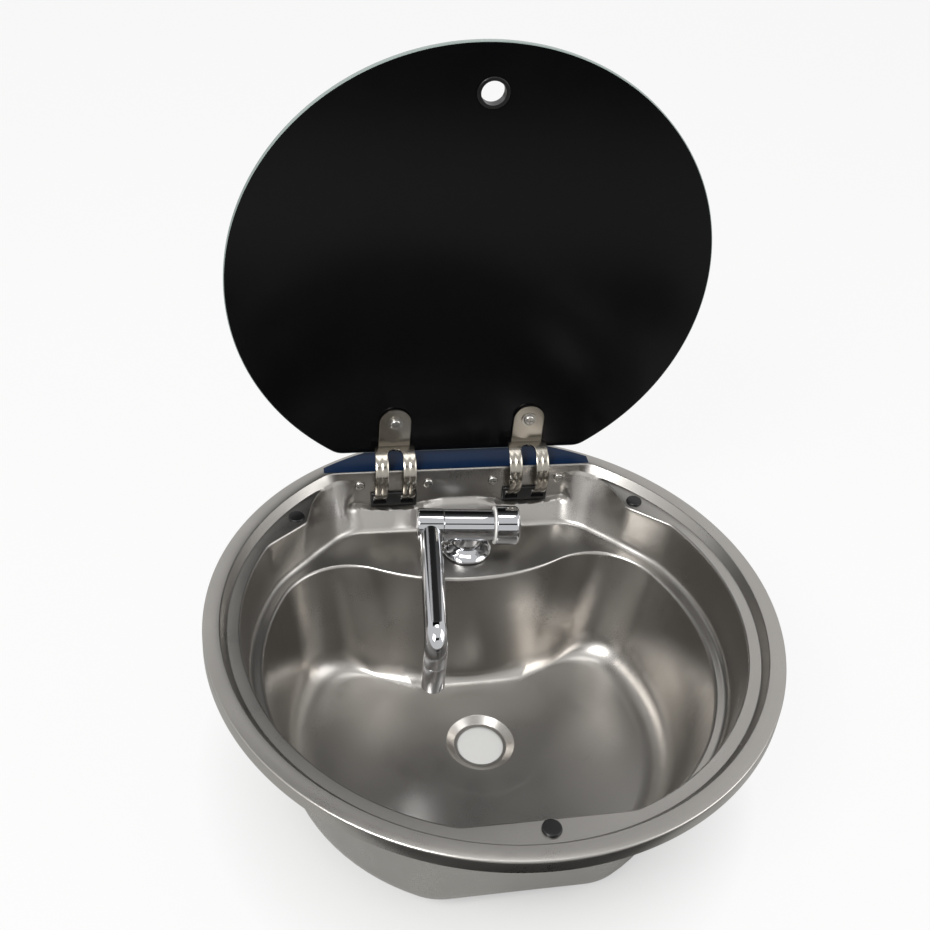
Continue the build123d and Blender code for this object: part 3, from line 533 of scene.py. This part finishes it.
def bowl_rings(sizes):
    """Closed rings of points from the skirt's edge down to the waste hole."""
    ledge_z, shelf_z, floor_z = RIM_Z - sizes.step, RIM_Z - sizes.shelf, RIM_Z - sizes.floor
    corner, step_run, least_ledge, basin_run = 14 * MM, 4.4 * MM, 3 * MM, 18 * MM
    flat_floor, seat, seat_low, rear_from = 50 * MM, 27 * MM, 21 * MM, 120 * MM
    outlines = (
        soften(recess_reach(sizes.ring, sizes.chord, corner), 2),
        soften(recess_reach(sizes.ring - step_run, sizes.chord, corner), 2),
        wall_reach(radius=184.2 * MM, front=175.5 * MM, rear=sizes.chord, horn_out=(160 * MM, 86 * MM),
                   tip=(131 * MM, 112 * MM), back=(124 * MM, 143 * MM), tip_span=1.6, back_span=7),
        wall_reach(radius=179 * MM, front=170.5 * MM, rear=REAR_FOOT_Y, horn_out=(151 * MM, 92 * MM),
                   tip=(131 * MM, 117 * MM), back=(112 * MM, 132 * MM), tip_span=8, back_span=9),
        basin_reach(0),
        basin_reach(basin_run),
    )
    columns = []
    for angle in bowl_angles(sizes):
        ring, ledge, wall, foot, lip, low = (reach_at(outline, angle) for outline in outlines)
        pocket = pocket_depth(sizes, angle)
        # Where the wall comes too near the ledge's outer edge, its top starts a little lower
        drop = max(0, least_ledge - (ledge - wall))
        fall = drop / (ledge_z - shelf_z)
        top = min(wall, ledge - 0.05 * MM) * (1 - fall) + foot * fall
        # Each corner of the section: distance from the middle, height and rounding
        corners = [(sizes.rim, RIM_Z - sizes.skirt, 0), (sizes.rim, RIM_Z, 1.3 * MM), (ring, RIM_Z, 1.3 * MM),
                   (ledge, ledge_z, 1.2 * MM), (top, ledge_z - drop, 1.6 * MM)]
        for depth in wall_rows(pocket):
            share = (depth - sizes.step) / (sizes.shelf - sizes.step)
            corners.append((wall + (foot - wall) * share, RIM_Z - depth, 0))
        corners += [(foot, shelf_z, 6 * MM), (lip, shelf_z, 3.2 * MM), (low, floor_z, 27 * MM),
                    (flat_floor, floor_z, 0), (seat, floor_z, 1.6 * MM), (seat_low, sizes.sheet, 1.2 * MM),
                    (sizes.hole, sizes.sheet, 0)]
        section = rounded([(reach, z) for reach, z, _ in corners], [r for _, _, r in corners[1:-1]])
        column = []
        for reach, z in section:
            x, y = reach * cos(angle), reach * sin(angle)
            if y > rear_from and z < ledge_z and reach < sizes.ring - 2 * MM:
                x, y = set_upright(sizes, pocket, x, y, RIM_Z - z)
            column.append((x, y, z))
        columns.append(column)
    return [[column[k] for column in columns] for k in range(len(columns[0]))]


def loft(rings):
    """Sheet through closed rings: a circle, then each next ring extruded from the last and put in its place."""
    clear_selection()
    count = len(rings[0])
    bpy.ops.mesh.primitive_circle_add(vertices=count)
    piece = bpy.context.object
    edit_all()
    mesh = bmesh.from_edit_mesh(piece.data)
    mesh.verts.ensure_lookup_table()
    order = {v.index: v.index for v in mesh.verts}
    for v in mesh.verts:
        v.co = rings[0][order[v.index]]
    for ring in rings[1:]:
        bpy.ops.mesh.extrude_region_move()
        mesh = bmesh.from_edit_mesh(piece.data)
        mesh.verts.index_update()
        after = {}
        for v in mesh.verts:
            if v.select:
                old = next(e.other_vert(v) for e in v.link_edges if not e.other_vert(v).select)
                after[v.index] = order[old.index]
                v.co = ring[order[old.index]]
        order = after
    bmesh.update_edit_mesh(piece.data)
    bpy.ops.object.mode_set(mode="OBJECT")
    return piece


def pick_faces(piece, test):
    """Enter edit mode with just the faces that pass the test selected."""
    take_up(piece)
    bpy.ops.object.mode_set(mode="EDIT")
    bpy.ops.mesh.select_mode(type="FACE")
    bpy.ops.mesh.select_all(action="DESELECT")
    mesh = bmesh.from_edit_mesh(piece.data)
    for face in mesh.faces:
        if test(face.calc_center_median()):
            face.select_set(True)
    bmesh.update_edit_mesh(piece.data)


def open_through(piece, foot, axis):
    """Take both end discs off a turned ring and bridge the two edges, so that its bore runs through."""
    on_axis = 0.5 * MM
    pick_faces(piece, lambda p: (p - foot).cross(axis).length < on_axis)
    bpy.ops.mesh.delete(type="FACE")
    bpy.ops.mesh.select_mode(type="EDGE")
    bpy.ops.mesh.select_all(action="DESELECT")
    bpy.ops.mesh.select_non_manifold()
    bpy.ops.mesh.bridge_edge_loops()
    face_outwards()
    bpy.ops.object.mode_set(mode="OBJECT")


class SINK_OT_bowl(bpy.types.Operator):
    """Pressed bowl with its rim, ledge, shelf, basin and hinge pockets"""

    bl_idname = "sink.bowl"
    bl_label = "Bowl"

    def execute(self, context):
        sizes = context.scene.sink_bowl
        piece = loft(bowl_rings(sizes))
        near_wall = sizes.chord - 1 * MM

        def in_slot(p):
            across, depth = abs(abs(p.x) - HINGE_X), RIM_Z - p.z
            return p.y > near_wall and across < SLOT_HALF and SLOT_TOP < depth < SLOT_LOW

        pick_faces(piece, in_slot)
        bpy.ops.mesh.delete(type="FACE")
        bpy.ops.mesh.select_all(action="SELECT")
        mesh = bmesh.from_edit_mesh(piece.data)
        mesh.faces.ensure_lookup_table()
        topmost = max(mesh.faces, key=lambda f: f.calc_center_median().z)
        if topmost.normal.z < 0:
            bpy.ops.mesh.flip_normals()
        modify(piece, "SOLIDIFY", thickness=sizes.sheet, offset=-1, use_even_offset=True, thickness_clamp=1)
        place_piece(piece, "bowl_pressing", "bowl", "satin_stainless_sheet", ["sink_bowl"])
        return {"FINISHED"}


class SINK_OT_film(bpy.types.Operator):
    """Protective film left on the rear of the rim"""

    bl_idname = "sink.film"
    bl_label = "Rim film"

    def execute(self, context):
        sizes = context.scene.sink_bowl
        clear_selection()
        bpy.ops.mesh.primitive_grid_add(x_subdivisions=60, y_subdivisions=8, size=1)
        piece = bpy.context.object
        wide, off_middle, near, far = 226 * MM, 2 * MM, sizes.chord + 1.6 * MM, sizes.rim - 3.4 * MM
        lift, ripple, spacing, thick = 0.12 * MM, 0.08 * MM, 7 * MM, 0.08 * MM
        for v in piece.data.vertices:
            x = wide * v.co.x - off_middle
            share = v.co.y + 0.5
            y = near + (sqrt(far ** 2 - x ** 2) - near) * share
            v.co = (x, y, RIM_Z + lift + ripple * sin(x / spacing) * sin(share * pi))
        modify(piece, "SOLIDIFY", thickness=thick, offset=0)
        place_piece(piece, "rim_film", "bowl", "blue_polyethylene_film")
        return {"FINISHED"}


class SINK_OT_bumpers(bpy.types.Operator):
    """Rubber bumpers that the closed lid stands on"""

    bl_idname = "sink.bumpers"
    bl_label = "Bumpers"

    def execute(self, context):
        ledge = RIM_Z - context.scene.sink_bowl.step
        places = {"front": (0, -183.2 * MM), "left": (-139.5 * MM, 119 * MM), "right": (139.5 * MM, 119 * MM)}
        steps = profile([(0.1, 1.7), (6.3, 1.7), (6.5, 0), (2.5, 0), (2.5, -0.8), (3.8, -0.8), (2.6, -3.3),
                         (0.1, -3.3)], [1.5, 0.2, 0, 0.2, 0.3, 0.5])
        for name, (x, y) in places.items():
            piece = turned(steps, Vector((x, y, ledge)), UP, 64)
            place_piece(piece, "rubber_bumper_" + name, "bowl", "moulded_black_rubber",
                        ["bumper_" + name])
        return {"FINISHED"}


def arm_path(sizes):
    """Middle line of the arm in the side view, as (distance, y, z, outward y, outward z)."""
    from_leg, to_tab, corner, stub = 253, 91.5, 1.4 * MM, 4 * MM
    points = []
    for k in range(65):
        angle = radians(from_leg + (to_tab - from_leg) * k / 64)
        points.append((PIVOT.y + sizes.radius * cos(angle), PIVOT.z + sizes.radius * sin(angle)))
    crown = PIVOT.z + sizes.radius
    points += rounded([points[-1], (TAB_Y, crown), (TAB_Y, crown + stub)], corner, 6)[1:]
    low, top = points[-1][1], TAB_SCREW_Z + sizes.tab
    points += [(TAB_Y, low + (top - low) * k / 30) for k in range(1, 31)]
    path, run = [], 0
    for k, (y, z) in enumerate(points):
        before, after = points[max(0, k - 1)], points[min(len(points) - 1, k + 1)]
        run += hypot(y - before[0], z - before[1]) if k else 0
        along = Vector((after[0] - before[0], after[1] - before[1])).normalized()
        path.append((run, y, z, -along.y, along.x))
    return path


def round_end(radius, along):
    """Half width of a round end, a given way along from its middle."""
    return radius * sqrt(max(0, 1 - (along / radius) ** 2))


def arm_sheet(sizes, x_middle):
    """Arm as a sheet: a grid whose inner edge follows the slot, and whose outer edge follows the outline."""
    path = arm_path(sizes)
    slot_short_of_bend, shoulder, shoulder_end, rib_fade, rib_end = 12 * MM, 3.5 * MM, 1 * MM, 7 * MM, 1 * MM
    bend = next(run for run, y, *_ in path if y > TAB_Y - 0.1 * MM)
    arch, straight = bend - slot_short_of_bend, path[-1][0] - sizes.tab
    fall_start = bend - shoulder - shoulder_end
    rows = [arch * k / 44 for k in range(44)]
    rows += [arch + sizes.slot * sin(pi / 2 * k / 12) for k in range(13)]
    start = rows[-1]
    rows += [start + (bend - start) * k / 6 for k in range(1, 7)]
    rows += [bend + (straight - bend) * k / 12 for k in range(1, 13)]
    rows += [straight + sizes.tab * sin(pi / 2 * k / 14) for k in range(1, 15)]
    clear_selection()
    bpy.ops.mesh.primitive_grid_add(x_subdivisions=20, y_subdivisions=len(rows) - 1, size=1)
    piece = bpy.context.object
    for v in piece.data.vertices:
        across, s = v.co.x + 0.5, rows[round((v.co.y + 0.5) * (len(rows) - 1))]
        inner = sizes.slot if s < arch else round_end(sizes.slot, s - arch)
        outer = sizes.half
        if s > straight:
            outer = round_end(sizes.tab, s - straight)
        elif s > fall_start:
            outer = sizes.tab + (sizes.half - sizes.tab) * round_end(1, min(1, (s - fall_start) / shoulder))
        x = inner + (outer - inner) * across
        k = min(len(path) - 2, max(i for i in range(len(path)) if path[i][0] <= s + 1e-9))
        t = (s - path[k][0]) / (path[k + 1][0] - path[k][0])
        y, z, ny, nz = (path[k][i] * (1 - t) + path[k + 1][i] * t for i in (1, 2, 3, 4))
        # The pressed rib fades out before the legs meet
        rib = sizes.rib * (1 - smoothstep(arch - rib_fade, arch - rib_end, s))
        lift = rib * abs(sin(2 * pi * across)) ** 0.7
        v.co = (x, y + ny * lift, z + nz * lift)
    modify(piece, "MIRROR", use_axis=(True, False, False), merge_threshold=0.02 * MM)
    for v in piece.data.vertices:
        v.co.x += x_middle
    return piece


def make_bush(sizes, x, chord):
    """Bush in the wall: a block with a border in front and a slot for each leg of the arm."""
    middle = Vector((x, chord, RIM_Z - (SLOT_TOP + SLOT_LOW) / 2))
    wide, high, deep = 2 * SLOT_HALF, SLOT_LOW - SLOT_TOP, 5.2 * MM
    border, front, skin = 1.5 * MM, 2.2 * MM, 0.01 * MM
    bush = box(middle + REARWARD * (deep / 2 - front), (wide, deep, high))
    pick_faces(bush, lambda p: p.y < chord - front + skin)
    bpy.ops.mesh.extrude_region_move(TRANSFORM_OT_translate={"value": (0, 0, 0)})
    grow = ((wide + 2 * border) / wide, 1, (high + 2 * border) / high)
    bpy.ops.transform.resize(value=grow, center_override=middle)
    bpy.ops.transform.translate(value=(0, front - skin, 0))
    bpy.ops.mesh.extrude_region_move(TRANSFORM_OT_translate={"value": (0, -front, 0)})
    face_outwards()
    break_edges(bush, 0.7 * MM, 3)
    leg_x, leg_wide, play, lower = (sizes.half + sizes.slot) / 2, sizes.half - sizes.slot, 1 * MM, 0.2 * MM
    for side in (1, -1):
        cut(bush, box(middle + Vector((side * leg_x, 0, -lower)), (leg_wide + play, 4 * deep, high - 2 * play)))
    return bush


class SINK_OT_hinges(bpy.types.Operator):
    """Curved arms with their ribbed legs, and the nylon bushes they slide through"""

    bl_idname = "sink.hinges"
    bl_label = "Hinge arms and bushes"

    def execute(self, context):
        sizes = context.scene.sink_hinge
        weld, slim, arris = 0.02 * MM, 0.96, 0.3 * MM
        for side, x in SIDES:
            piece = arm_sheet(sizes, x)
            edit_all()
            bpy.ops.mesh.remove_doubles(threshold=weld)
            # A shade thinner than the strip, which leaves the legs room in the bushes
            modify(piece, "SOLIDIFY", thickness=sizes.strip * slim, offset=0, use_even_offset=True)
            break_edges(piece, arris)
            take_up(piece)
            edit_all()
            face_outwards()
            place_piece(piece, "arm_" + side, "lid", "bright_stainless_strip",
                        ["hinge_arm_" + side])
            bush = make_bush(sizes, x, context.scene.sink_bowl.chord)
            place_piece(bush, "nylon_bush_" + side, "bowl", "moulded_black_nylon",
                        ["hinge_bush_" + side])
        return {"FINISHED"}


def lid_plate(sizes):
    """Glass of the lid as a plain plate: a circle with a straight edge below and two rounded corners."""
    chord = LID_CENTRE_Z - LID_EDGE_Z
    hub_y = chord - sizes.corner
    hub_x = sqrt((sizes.radius - sizes.corner) ** 2 - hub_y ** 2)
    meet = atan2(hub_y, hub_x)
    half = arc_points((0, 0), sizes.radius, -pi / 2, meet, 140)
    half += arc_points((hub_x, hub_y), sizes.corner, meet, pi / 2, 12)[1:] + [(0, chord)]
    outline = [(x, -y) for x, y in half] + [(-x, -y) for x, y in reversed(half[:-1])]
    least = 0.2 * MM
    outline = [here for before, here in zip([outline[-1]] + outline, outline)
               if hypot(here[0] - before[0], here[1] - before[1]) > least]
    clear_selection()
    bpy.ops.mesh.primitive_circle_add(vertices=len(outline))
    piece = bpy.context.object
    for v in piece.data.vertices:
        x, z = outline[v.index]
        v.co = (x, LID_FACE_Y, LID_CENTRE_Z + z)
    edit_all()
    bpy.ops.mesh.edge_face_add()
    bpy.ops.mesh.extrude_region_move(TRANSFORM_OT_translate={"value": (0, sizes.glass, 0)})
    face_outwards()
    return piece


class SINK_OT_lid(bpy.types.Operator):
    """Black glass lid with its ground edge, and the rubber grommet in its finger hole"""

    bl_idname = "sink.lid"
    bl_label = "Glass lid"

    def execute(self, context):
        sizes = context.scene.sink_lid
        piece = lid_plate(sizes)
        finger_hole, screw_hole = 10.4 * MM, 4 * MM
        holes = [(FINGER, finger_hole)]
        holes += [(Vector((x, LID_FACE_Y, TAB_SCREW_Z)), screw_hole) for _, x in reversed(SIDES)]
        for place, radius in holes:
            cut(piece, turned([(radius, -sizes.glass), (radius, 3 * sizes.glass)], place, REARWARD, 64))
        break_edges(piece, sizes.arris)
        place_piece(piece, "glass_lid", "lid", "black_painted_glass", ["lid_glass"])
        piece.data.materials.append(bpy.data.materials["ground_glass_edge"])
        for face in piece.data.polygons:
            if abs(face.normal.y) < 0.98:  # the edge and its bevels
                face.material_index = 1
            else:
                face.use_smooth = False

        steps = profile([(9.1, 6.5), (12, 6.5), (12, 5.05), (10.3, 5.05), (10.3, -0.05), (12, -0.05), (12, -1.5),
                         (9.1, -1.5)], [0.9, 0.3, 0.1, 0.1, 0.3, 0.9], 4)
        grommet = turned(steps, FINGER, REARWARD, 72)
        open_through(grommet, FINGER, REARWARD)
        place_piece(grommet, "rubber_grommet", "lid", "moulded_black_rubber",
                    ["finger_grommet"])
        return {"FINISHED"}


class SINK_OT_caps(bpy.types.Operator):
    """Domed chrome caps over the lid screws, behind the glass"""

    bl_idname = "sink.caps"
    bl_label = "Lid caps"

    def execute(self, context):
        steps = profile([(9, 0), (9, 2.4), (5, 3), (0.1, 3)], [1.2, 3], 6)
        for side, x in SIDES:
            foot = Vector((x, LID_FACE_Y + context.scene.sink_lid.glass, TAB_SCREW_Z))
            piece = turned(steps, foot, REARWARD, 72)
            place_piece(piece, "cap_" + side, "lid", "polished_chrome_plate", ["lid_cap_" + side])
        return {"FINISHED"}


def spout_tube(sizes, start, nozzle_top):
    """Spout from the collar out to its elbow and down into the nozzle; gives the tube and the nozzle's top."""
    wall, overlap = 2.6 * MM, 0.25 * MM
    out = FORWARD * cos(sizes.dip) - UP * sin(sizes.dip)
    side = out.cross(UP).normalized()
    bend = pi / 2 - sizes.dip
    setback = sizes.elbow * tan(bend / 2)
    run = sizes.reach / cos(sizes.dip) - setback
    clear_selection()
    bpy.ops.mesh.primitive_circle_add(vertices=72, radius=sizes.spout, location=start,
                                      rotation=out.to_track_quat("Z", "Y").to_euler())
    tube = bpy.context.object
    edit_all()
    bpy.ops.mesh.extrude_region_move(TRANSFORM_OT_translate={"value": out * run})
    inside = out.cross(side).normalized()
    if inside.z > 0:
        inside = -inside
    bpy.ops.mesh.spin(steps=28, angle=bend, center=start + out * run + inside * sizes.elbow, axis=side)
    end = start + out * (run + setback) - UP * setback
    bpy.ops.mesh.extrude_region_move(TRANSFORM_OT_translate={"value": (0, 0, nozzle_top + overlap - end.z)})
    face_outwards()
    modify(tube, "SOLIDIFY", thickness=wall, offset=-1)
    return tube, Vector((end.x, end.y, nozzle_top))


class SINK_OT_tap(bpy.types.Operator):
    """Chrome foot, barrel, folding spout, nozzle and knob"""

    bl_idname = "sink.tap"
    bl_label = "Tap"

    def execute(self, context):
        sizes = context.scene.sink_tap
        chrome = "polished_chrome_plate"
        flange, barrel, collar, knob = (r / MM for r in (sizes.flange, sizes.barrel, sizes.collar, sizes.knob))

        # Outlines are in millimetres: distance from the axis, and along it from the foot or the barrel's middle
        foot = turned(profile([(flange - 0.4, 0), (flange, 0.4), (flange, 1.7), (18.6, 3.7), (15.2, 5.2),
                               (12.4, 7), (0.1, 7)], [0.3, 0.8, 6, 6, 1.2]), TAP_FOOT, UP)
        place_piece(foot, "foot_flange", "bowl", chrome, ["tap_flange"])

        neck = turned(profile([(10.9, 7.3), (11.6, 7.3), (11.6, 8), (11, 10), (11, 24), (0.1, 24)],
                              [0.2, 0.5, 2, 0.2], 4), TAP_FOOT, UP)
        body = turned(profile([(8.5, -34), (8.5, -20.6), (barrel, -20.6), (barrel, 20.6), (0.1, 20.6)],
                              [0.1, 0.35, 0.35], 4), TAP_POINT, BARREL)
        join(body, neck)
        place_piece(body, "barrel_body", "tap_head", chrome, ["tap_body"])

        ring = turned(profile([(8.6, -20.95), (collar, -20.95), (collar, -41.9), (10.6, -42), (10.6, -40.9),
                               (0.1, -40.9)], [0.35, 1.3, 0.2, 0.1]), TAP_POINT, BARREL)
        collar_middle, nozzle_drop = 31.45 * MM, 22 * MM
        nozzle_top = TAP_POINT.z - sizes.reach * tan(sizes.dip) - nozzle_drop
        tube, nozzle_foot = spout_tube(sizes, TAP_POINT - BARREL * collar_middle, nozzle_top)
        join(tube, ring)
        place_piece(tube, "spout_tube", "spout_arm", chrome, ["spout"])

        disc = turned(profile([(10.3, -40.95), (10.3, -42), (9.4, -42.3), (0.1, -42.3)], [0.3, 0.5]),
                      TAP_POINT, BARREL)
        place_piece(disc, "collar_disc", "spout_arm", chrome, ["collar_cap"])

        sleeve = turned(profile([(7.4, 0), (9, 0), (9, 24.5), (7.6, 24.5), (7.4, 18.5)], [0.4, 0.5, 0.1]),
                        nozzle_foot, -UP, 72)
        place_piece(sleeve, "nozzle_sleeve", "spout_arm", chrome, ["nozzle"])
        open_through(sleeve, nozzle_foot, UP)

        band = turned(profile([(4, 20.95), (15.5, 20.95), (15.5, 22.5), (4, 22.5)], 0.3), TAP_POINT, BARREL)
        place_piece(band, "knob_band", "knob_set", "white_acetal", ["knob_ring"])
        cap = turned(profile([(4.1, 22.7), (knob, 22.7), (knob, 40.4), (11.5, 42.7), (0.1, 43)], [0.5, 3.4, 14]),
                     TAP_POINT, BARREL)
        place_piece(cap, "knob_cap", "knob_set", chrome, ["knob"])
        return {"FINISHED"}


FINISH_OF_NODE = {
    "rim_seal": "moulded_black_rubber", "tap_seal": "moulded_black_rubber", "deck_washer": "moulded_black_rubber",
    "lid_pad": "moulded_black_rubber", "hinge_bracket": "zinc_plated_steel", "hinge_pin": "zinc_plated_steel",
    "wall_screw": "zinc_plated_steel", "wall_nut": "zinc_plated_steel", "lid_washer": "zinc_plated_steel",
    "lid_screw": "zinc_plated_steel", "tap_shank": "machined_brass", "deck_nut": "machined_brass",
    "spindle": "machined_brass", "inlet_pipe": "drawn_copper_tube", "aerator": "grey_acetal",
}


class SINK_OT_fixings(bpy.types.Operator):
    """Finish of the pieces that are shown as the frame has them"""

    bl_idname = "sink.fixings"
    bl_label = "Fixings"

    def execute(self, context):
        for name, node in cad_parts.items():
            finish = next((f for key, f in FINISH_OF_NODE.items() if name.startswith(key)), None)
            if finish:
                node.data.materials.clear()
                node.data.materials.append(bpy.data.materials[finish])
        return {"FINISHED"}


def lay_floor(paper_colour):
    """Pale paper that takes a shadow near the sink and glows white to the camera further out."""
    clear_selection()
    bpy.ops.mesh.primitive_plane_add(size=12, location=(0, 0, -1 * MM))
    floor = bpy.context.object
    floor.name = "pale_floor"
    made, tree, out = new_material("pale_paper")
    paper = add(tree, "ShaderNodeBsdfDiffuse", Color=paper_colour)
    white = add(tree, "ShaderNodeEmission", Color=WHITE, Strength=1.0)
    place = add(tree, "ShaderNodeTexCoord").outputs["Object"]
    away = add(tree, "ShaderNodeVectorMath", {0: place}, operation="LENGTH")
    shadow_end, glow_start, glow = 0.05, 0.22, 0.9
    share = add(tree, "ShaderNodeMapRange", {"Value": away.outputs["Value"]}, From_Min=shadow_end,
                From_Max=glow_start, To_Min=0.0, To_Max=glow)
    path = add(tree, "ShaderNodeLightPath")
    seen = add(tree, "ShaderNodeMath", {0: path.outputs["Is Camera Ray"], 1: share.outputs["Result"]},
               operation="MULTIPLY")
    surface = add(tree, "ShaderNodeMixShader", {0: seen.outputs[0], 1: paper.outputs[0], 2: white.outputs[0]})
    tree.links.new(surface.outputs[0], out.inputs["Surface"])
    floor.data.materials.append(made)


def light_world(scene, daylight):
    """World that is white to the camera and in mirrors, and lights the rest with a softer daylight."""
    world = bpy.data.worlds.new("studio_white")
    scene.world = world
    world.use_nodes = True
    tree = world.node_tree
    tree.nodes.clear()
    path = add(tree, "ShaderNodeLightPath")
    mirrored = add(tree, "ShaderNodeMath",
                   {0: path.outputs["Is Camera Ray"], 1: path.outputs["Is Glossy Ray"]}, operation="MAXIMUM")
    seen = add(tree, "ShaderNodeMath", {0: mirrored.outputs[0], 1: path.outputs["Is Transmission Ray"]},
               operation="MAXIMUM")
    light = add(tree, "ShaderNodeBackground", Color=WHITE, Strength=daylight)
    white = add(tree, "ShaderNodeBackground", Color=WHITE, Strength=1.0)
    sky = add(tree, "ShaderNodeMixShader", {0: seen.outputs[0], 1: light.outputs[0], 2: white.outputs[0]})
    add(tree, "ShaderNodeOutputWorld", {"Surface": sky.outputs[0]})


def set_cards():
    """Dark cards that only mirrors see, for the dark lines in the chrome and the steel."""
    made, tree, out = new_material("black_card")
    black = add(tree, "ShaderNodeBsdfDiffuse", Color=colour("#0A0A0A"))
    tree.links.new(black.outputs[0], out.inputs["Surface"])
    # Sizes in metres
    for name, place, tilt, width, height in (
        ("dark_card_front", (0, -0.95, 0.16), pi / 2, 1.5, 0.3),
        ("dark_card_low", (0, -0.34, 0.004), 0, 0.8, 0.17),
        ("dark_card_above", (-0.1, 0.55, 1.4), 0, 1.4, 0.5),
        ("dark_card_rear", (0, -1.6, 1.9), pi / 4, 1.6, 0.35),
    ):
        clear_selection()
        bpy.ops.mesh.primitive_plane_add(size=1, location=place, rotation=(tilt, 0, 0))
        card = bpy.context.object
        card.name = name
        card.scale = (width, height, 1)
        card.data.materials.append(made)
        card.visible_camera = card.visible_diffuse = card.visible_shadow = card.visible_transmission = False


def set_lamps():
    """Three soft boxes turned to the basin."""
    aim = Vector((0, 0, 0.1))
    # Sizes in metres and power in watts
    for name, place, size, power in (
        ("key_softbox", (-0.9, -0.9, 1.5), 0.6, 38),
        ("fill_softbox", (1.3, -0.5, 1.1), 0.9, 9),
        ("top_softbox", (0.1, 0.4, 1.7), 0.7, 7),
    ):
        clear_selection()
        facing = (Vector(place) - aim).to_track_quat("Z", "Y").to_euler()
        bpy.ops.object.light_add(type="AREA", location=place, rotation=facing)
        lamp = bpy.context.object
        lamp.name = name
        lamp.data.size = size
        lamp.data.energy = power


class SINK_OT_stage(bpy.types.Operator):
    """Pale floor, soft light, dark cards and the camera"""

    bl_idname = "sink.stage"
    bl_label = "Stage"

    def execute(self, context):
        sizes = context.scene.sink_studio
        lay_floor(context.scene.sink_finish.floor)
        light_world(context.scene, sizes.daylight)
        set_cards()
        set_lamps()
        aim = Vector((sin(sizes.yaw) * cos(sizes.pitch), cos(sizes.yaw) * cos(sizes.pitch), -sin(sizes.pitch)))
        right = aim.cross(UP).normalized()
        up = right.cross(aim)
        right, up = right * cos(sizes.roll) + up * sin(sizes.roll), up * cos(sizes.roll) - right * sin(sizes.roll)
        clear_selection()
        bpy.ops.object.camera_add(location=sizes.camera)
        camera = bpy.context.object
        camera.rotation_mode = "QUATERNION"
        camera.rotation_quaternion = Matrix((right, up, -aim)).transposed().to_quaternion()
        camera.data.sensor_width = 36
        camera.data.lens = sizes.lens
        camera.data.shift_x = (PICTURE / 2 - VIEW_MIDDLE[0]) / PICTURE
        camera.data.shift_y = (VIEW_MIDDLE[1] - PICTURE / 2) / PICTURE
        camera.data.clip_start, camera.data.clip_end = 0.01, 50
        context.scene.camera = camera
        context.scene.view_settings.view_transform = "Standard"
        return {"FINISHED"}


class SINK_PT_panel(bpy.types.Panel):
    """Sizes and steps of the sink"""

    bl_idname = "SINK_PT_panel"
    bl_label = "Round drop-in sink"
    bl_space_type = "VIEW_3D"
    bl_region_type = "UI"
    bl_category = "Sink"

    def draw(self, context):
        for group, kind in GROUPS.items():
            column = self.layout.box()
            column.label(text=kind.__doc__.rstrip("."))
            for key in kind.__annotations__:
                column.prop(getattr(context.scene, group), key)
        for operator in OPERATORS:
            self.layout.operator(operator.bl_idname)


GROUPS = {
    "sink_bowl": BowlSizes, "sink_lid": LidSizes, "sink_hinge": HingeSizes, "sink_tap": TapSizes,
    "sink_studio": StudioSizes, "sink_finish": FinishColours,
}
OPERATORS = (SINK_OT_bowl, SINK_OT_film, SINK_OT_bumpers, SINK_OT_hinges, SINK_OT_lid, SINK_OT_caps, SINK_OT_tap,
             SINK_OT_fixings, SINK_OT_stage)


def register():
    """Add the classes and the size groups."""
    for each in (*GROUPS.values(), *OPERATORS, SINK_PT_panel):
        bpy.utils.register_class(each)
    for group, kind in GROUPS.items():
        setattr(bpy.types.Scene, group, PointerProperty(type=kind))


def unregister():
    """Take them away again."""
    for group in GROUPS:
        delattr(bpy.types.Scene, group)
    for each in reversed((*GROUPS.values(), *OPERATORS, SINK_PT_panel)):
        bpy.utils.unregister_class(each)


def main():
    """Run every step in order."""
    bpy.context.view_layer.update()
    register()
    make_materials(bpy.context.scene.sink_finish)
    bpy.ops.sink.bowl()
    bpy.ops.sink.film()
    bpy.ops.sink.bumpers()
    bpy.ops.sink.hinges()
    bpy.ops.sink.lid()
    bpy.ops.sink.caps()
    bpy.ops.sink.tap()
    bpy.ops.sink.fixings()
    bpy.ops.sink.stage()


if __name__ == "__main__":
    main()
